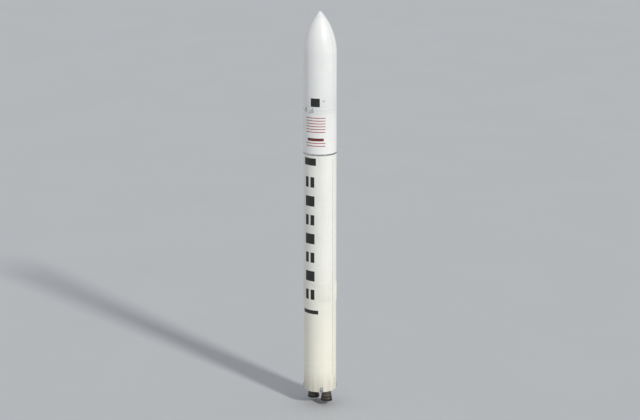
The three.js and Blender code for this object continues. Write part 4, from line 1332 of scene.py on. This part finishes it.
def buildFairingHalf(side, facing):
    # facing is -1 for the front half and 1 for the back half
    node, body, title = f"fairing_{side}", f"fairing_{side}_half", side.capitalize()
    low, high = span(node)
    seam, steps, cap = fairing["seam"], fairing["steps"], fairing["cap"]
    outer, inner = fairingLine(low, high, 0, fairing["foot"]), fairingLine(low, high, fairing["wall"])
    squash = (bodyRadius - seam) / bodyRadius

    def halfRing(radius, height):
        if radius < tiny:
            return [(0, facing * seam, height)]
        points = [ringPoint(radius, pi * step / steps, height) for step in range(steps + 1)]
        return [(x, facing * (seam + y * squash), z) for x, y, z in points]

    outerRows, innerRows = ([halfRing(*spot) for spot in line] for line in (outer, inner))
    count = len(outer)
    coats = [0] * (count - cap) + [1] * cap + [2] * (count - 1) + [3]
    shape = Shape()
    shape.loft(outerRows + innerRows[::-1], coats, ring=False, closed=True, caps=False)
    for edge in (0, -1):
        rows = [[out[edge], into[edge]] for out, into in zip(outerRows, innerRows)]
        shape.loft(rows, 3, ring=False, caps=False)
    seamScrews(shape, facing, low, high, outer)
    finishes = [fairingPaint, noseCoat, backingCloth, bareMetal]
    shape.make("fairingHalf" + title, finishes, body, "white_composite", [node])
    deep = fairingLine(low, high, fairing["wall"] + fairing["ribDeep"])
    for name, finishes, sharp, shape in (
            ("Frames", [primedMetal, boltMetal], 32, fairingFrames(facing, low, inner, deep)),
            ("Trim", [fairingPaint, boltMetal], 32, fairingTrim(facing, low)),
            ("Liner", [linerCloth], 50, fairingLiner(facing, low, inner))):
        shape.make(f"fairing{name}{title}", finishes, body, "white_composite", sharp=sharp)


def halfTurn(facing, count):  # even angles round one half
    return [facing * pi * (index + 0.5) / count for index in range(count)]


def seamScrews(shape, facing, low, high, line):
    # fasteners up both seams and round the base
    screws = fairing["seamScrews"]
    near = screws["near"]
    for edge, toward in ((0, 1), (pi, -1)):
        height = low + screws["start"]
        while height < high - screws["end"]:
            radius = radiusOn(line, height)
            lean = atan2(radiusOn(line, height - near) - radiusOn(line, height + near), 2 * near)
            place = onBody(facing * (edge + toward * screws["inset"] / radius), height, radius - sunk)
            rivet(shape, place @ Matrix.Rotation(-lean, 4, "X"), *screw, 3)
            height += screws["pitch"]
    for angle in halfTurn(facing, fairing["baseScrews"]):
        rivet(shape, onBody(angle, low + fairing["baseScrewUp"], bodyRadius - sunk), *screw, 3)


def fairingFrames(facing, low, outer, inner):
    # inside each half, up both sides of the split and round the base
    near, far = facing * fairing["seam"], facing * (fairing["seam"] + fairing["ribWide"])
    rows = []
    for (outR, outZ), (inR, inZ) in zip(outer, inner):
        out = outR + fairing["ribLap"] if outR else 0
        rows.append([(out, near, outZ), (out, far, outZ), (inR, far, inZ), (inR, near, inZ)])
    shape = Shape()
    shape.loft(rows + [[(-x, y, z) for x, y, z in row] for row in rows[-2::-1]])
    inside, wide, edge = inner[0][0], fairing["ribWide"], fairing["ribEdge"]
    outside, top = bodyRadius - fairing["wall"] + fairing["ribLap"], low + wide
    section = [(inside, low + edge), (inside + edge, low), (outside, low), (outside, top),
               (inside + edge, top), (inside, top - edge)]
    end = fairing["ribEnd"]
    sweepArc(shape, section, facing * end, facing * (pi - end), fairing["steps"])
    for angle in halfTurn(facing, fairing["frameBolts"]):
        place = onBody(angle + pi, low + wide / 2, -inside - sunk)
        rivet(shape, place, *fairing["frameBolt"], 1)
    return shape


def fairingTrim(facing, low):
    # vent covers near the base, and straps along the split
    shape, vent = Shape(), fairing["vent"]
    for degrees in vent["angles"]:
        angle, bottom = facing * radians(degrees), low + vent["up"]
        curvedPad(shape, angle, bottom, bottom + vent["tall"], vent["half"], *vent["cover"])
        for slat in range(1, vent["slats"] + 1):
            height = bottom + vent["pitch"] * slat
            curvedPad(shape, angle, height, height + vent["slatTall"], *vent["slat"])
    above, under = fairing["strapEnds"]
    start, end = low + above, fairing["ogiveStart"] - under
    for edge, toward in ((0, 1), (pi, -1)):
        shape.loft([[ringPoint(bodyRadius + proud, facing * (edge + toward * inset / bodyRadius), height)
                     for inset, proud in fairing["strap"]] for height in (start, (start + end) / 2, end)])
    return shape


def fairingLiner(facing, low, line):
    # crowned quilted panels on the inside wall
    shape, liner = Shape(), fairing["liner"]
    rows, columns, gap, side = (liner[key] for key in ("rows", "columns", "gap", "side"))
    base = low + liner["foot"]
    tall = (fairing["ogiveStart"] + liner["top"] - base) / rows
    for row in range(rows):
        for column in range(columns):
            start = pi * (column + side) / columns + liner["end"] * (column == 0)
            end = pi * (column + 1 - side) / columns - liner["end"] * (column == columns - 1)
            foot = base + tall * row
            linerPad(shape, facing, foot + gap, foot + tall - gap, start, end, line)
    return shape


def linerPad(shape, facing, low, high, start, end, line):
    rim, shares = fairing["padRim"], fairing["padShares"]
    swell = [sqrt(1 - (1 - min(share, 1 - share, rim) / rim) ** 2) for share in shares]
    under, over = [], []
    for row, upward in enumerate(shares):
        height = low + (high - low) * upward
        radius = radiusOn(line, height)
        turns = [facing * (start + (end - start) * across) for across in shares]
        under.append([ringPoint(radius + fairing["padRoot"], turn, height) for turn in turns])
        crowns = [fairing["padEdge"] + fairing["padCrown"] * swell[row] * each for each in swell]
        over.append([ringPoint(radius - crown, turn, height) for crown, turn in zip(crowns, turns)])
    shape.slab(under, over)


hinges = {"pinEnd": 0.0255, "headRadius": 0.012, "headTall": 0.008, "edge": 0.0015}


def buildHinges():
    for side in ("front", "back"):
        body = f"fairing_{side}_half"
        y, z = jointPlace(f"fairing_{side}_hinge")[1:]
        for letter in "ab":
            tail = side.capitalize() + letter.upper()
            base, arm = f"fairing_hinge_base_{side}_{letter}", f"fairing_hinge_arm_{side}_{letter}"
            edge = hinges["edge"]
            bevelled(base, "fairingHingeBase" + tail, bareMetal, "upper_stage", edge)
            bevelled(arm, "fairingHingeArm" + tail, bareMetal, body, edge)
            low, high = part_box(arm)
            shape = Shape()
            for end in (-1, 1):
                place = Matrix.Translation(((low.x + high.x) / 2 + end * hinges["pinEnd"], y, z))
                place = place @ Matrix.Rotation(end * pi / 2, 4, "Y")
                hexBolt(shape, place, hinges["headRadius"], hinges["headTall"])
            shape.make("fairingHingeBolts" + tail, [boltMetal], "upper_stage", "bare_metal")


# Painted marks: plain blocks up the first stage, bars on the interstage, a block on the fairing.
# A patch is (low station, high station, half width); angles are in degrees
marks = {
    "sides": (
        {"name": "Front", "half": "fairing_front_half", "blocks": -90, "bars": -68, "patch": -68},
        {"name": "Back", "half": "fairing_back_half", "blocks": 90, "bars": 140, "patch": 112},
    ),
    "proud": 0.0016, "edge": 0.0006, "topBlock": (12.585, 12.975, 0.38), "lastBlock": (4.42, 4.63, 0.50),
    "blocks": 7, "firstBlock": 11.68, "pitch": 1.03, "blockTall": 0.28,
    "whole": ((0, 0.30),), "split": ((-0.174, 0.114), (0.174, 0.114)),
    "bars": (13.62, 13.77, 14.36, 14.51, 14.66, 14.81, 14.96, 15.11), "barHalf": 0.55, "barTall": 0.04,
    "boldBar": (13.905, 14.055, 0.46), "fairingPatch": (15.72, 16.17, 0.25),
    "over": 0.0008, "rivetSize": 0.005, "ends": 0.002, "stringerInset": 0.02, "rivetInset": 0.008,
}


def buildMarks():
    for side in marks["sides"]:
        angle, tall = radians(side["blocks"]), marks["blockTall"]
        shape = Shape()
        for index in range(marks["blocks"]):
            middle = marks["firstBlock"] - index * marks["pitch"]
            for offset, half in marks["whole" if index % 2 else "split"]:
                markPad(shape, angle + offset / bodyRadius, middle - tall, middle + tall, half)
        markPad(shape, angle, *marks["topBlock"])
        markPad(shape, angle, *marks["lastBlock"])
        shape.make("rollMarks" + side["name"], [blackMark], "first_stage", "black_mark")

        angle = radians(side["bars"])
        shape = Shape()
        for height in marks["bars"]:
            markPad(shape, angle, height, height + marks["barTall"], marks["barHalf"])
        markPad(shape, angle, *marks["boldBar"], paint=1)
        shape.make("redBars" + side["name"], [redMark, darkRedMark], "interstage_section", "red_mark")

        shape = Shape()
        markPad(shape, radians(side["patch"]), *marks["fairingPatch"], corner=0.03)
        shape.make("fairingMark" + side["name"], [blackMark], side["half"], "black_mark")


def markPad(shape, angle, low, high, half, corner=0.012, paint=0):
    # a painted patch, which goes over the stringers and rivets that it crosses
    curvedPad(shape, angle, low, high, half, marks["proud"], corner, marks["edge"], paint)
    over, end = marks["over"], marks["ends"]
    foot, top = span("intertank")
    if foot < low and high < top:
        for turn in stringerAngles:
            if nearTo(turn, [(angle, (half - marks["stringerInset"]) / bodyRadius)]):
                stringer(shape, turn, ((low + end, 1), (high - end, 1)), over)
    painted = [(angle, (half - marks["rivetInset"]) / bodyRadius)]
    for up in forwardSkirt["rows"]:
        height = span("forward_skirt")[0] + up
        if low < height < high:
            rivetRow(shape, height, forwardSkirt["rivets"], (), marks["rivetSize"], over, painted)


# Stage, light and camera
floor = {"drop": 0.25, "half": 700, "colour": (0.55, 0.56, 0.57), "shade": (0.52, 0.53, 0.54)}


def buildStage():
    bottom, half = cadLow.z - floor["drop"], floor["half"]
    mesh = bpy.data.meshes.new("studioFloor")
    corners = [(-half, -half, bottom), (half, -half, bottom), (half, half, bottom), (-half, half, bottom)]
    mesh.from_pydata(corners, [], [(0, 1, 2, 3)])
    finish = Finish("studioFloor")
    colour = finish.mix(finish.noise(0.12, 3), floor["colour"], floor["shade"])
    rough = finish.remap(finish.noise(0.5, 2), 0.3, 0.7, 0.75, 0.85)
    mesh.materials.append(finish.use(colour, rough, finish.bump(finish.noise(3, 2), 0.004, 0.2)))
    piece = bpy.data.objects.new("studioFloor", mesh)
    scene.collection.objects.link(piece)


# azimuths turn from -Y towards +X, angles are in degrees
lights = {
    "sky": ((0.86, 0.90, 0.96), 0.54),
    "suns": (("keyLight", 2.1, 78, 32, 6, (1.0, 0.985, 0.95)),
             ("fillLight", 0.2, 295, 25, 60, (1.0, 0.93, 0.85))),
}


def towards(azimuth, elevation):
    a, e = radians(azimuth), radians(elevation)
    return Vector((sin(a) * cos(e), -cos(a) * cos(e), sin(e)))


def aimed(data, name, back):
    # an object that looks along the opposite of back
    made = bpy.data.objects.new(name, data)
    made.rotation_mode = "QUATERNION"
    made.rotation_quaternion = back.to_track_quat("Z", "Y")
    scene.collection.objects.link(made)
    return made


def buildLights():
    colour, strength = lights["sky"]
    scene.world = bpy.data.worlds.new("studio")
    scene.world.use_nodes = True
    background = scene.world.node_tree.nodes["Background"]
    background.inputs["Color"].default_value = (*colour, 1)
    background.inputs["Strength"].default_value = strength
    for name, energy, azimuth, elevation, spread, tint in lights["suns"]:
        lamp = bpy.data.lights.new(name, "SUN")
        lamp.energy = energy
        lamp.color = tint
        lamp.angle = radians(spread)
        aimed(lamp, name, towards(azimuth, elevation))


view = {"azimuth": 39, "elevation": 15, "lens": 100, "sensor": 36, "shape": 420 / 640, "far": 3000,
        "fill": 0.92, "transform": "Standard"}


def buildCamera():
    lens = bpy.data.cameras.new("camera")
    lens.lens, lens.sensor_width, lens.clip_end = view["lens"], view["sensor"], view["far"]
    tall = (cadHigh.z - cadLow.z) * cos(radians(view["elevation"]))
    distance = tall / view["fill"] * view["lens"] / (view["sensor"] * view["shape"])
    back = towards(view["azimuth"], view["elevation"])
    scene.camera = aimed(lens, "camera", back)
    scene.camera.location = Vector((0, 0, (cadLow.z + cadHigh.z) / 2)) + back * distance
    scene.view_settings.view_transform = view["transform"]


buildStage()
buildLights()
buildCamera()
print("stage ready")

buildSkin(aftBay, aftBayTop)
buildSkin(fuelTank)
buildSkin(intertank, stringers)
buildSkin(oxidizerTank, domeFittings)
buildSkin(forwardSkirt)
buildJointRing("stage_ring", "stageRing", "first_stage", True)
buildRaceway("raceway_right", "racewayRight", 0)
buildRaceway("raceway_left", "racewayLeft", pi)
for side, degrees in (("right", 0), ("left", 180)):
    buildAccessPanel(f"aft_bay_access_panel_{side}", "aftBayAccessPanel" + side.capitalize(), "first_stage",
                     "white_paint", aftPaint, degrees, accessPanel["aftHalf"])
buildUmbilical("aft_umbilical_plate")
buildHoldDowns()
buildHeatShield()
bevelled("thrust_frame", "thrustFrame", primedMetal, "first_stage", 0.006, 1)
print("first stage ready")

for number, x in ((1, -engineX), (2, engineX)):
    bevelled(f"engine_{number}_gimbal", f"engineGimbal{number}", darkSteel, f"engine_{number}_gimbal_body",
             0.003, 1)
    buildEngineHead(number, x)
    buildBell(number, x)
print("engines ready")

buildJointRing("interstage_ring", "interstageRing", "interstage_section", False)
buildSkin(interstage, interstageFrames)
buildAccessPanel("interstage_access_panel", "interstageAccessPanel", "interstage_section", "white_composite",
                 fairingPaint, accessPanel["interstageTurn"], accessPanel["interstageHalf"])
buildUmbilical("upper_umbilical_plate")
buildSkin(adapterRing, adapterBolts)
buildPayloadDeck()
buildPayloadCone()
buildPayloadPlate()
buildMotor()
buildMotorNozzle()
buildNozzleRing()
buildMotorAdapter()
print("upper stage ready")

buildFairingHalf("front", -1)
buildFairingHalf("back", 1)
buildHinges()
buildMarks()
print("fairing and marks ready")
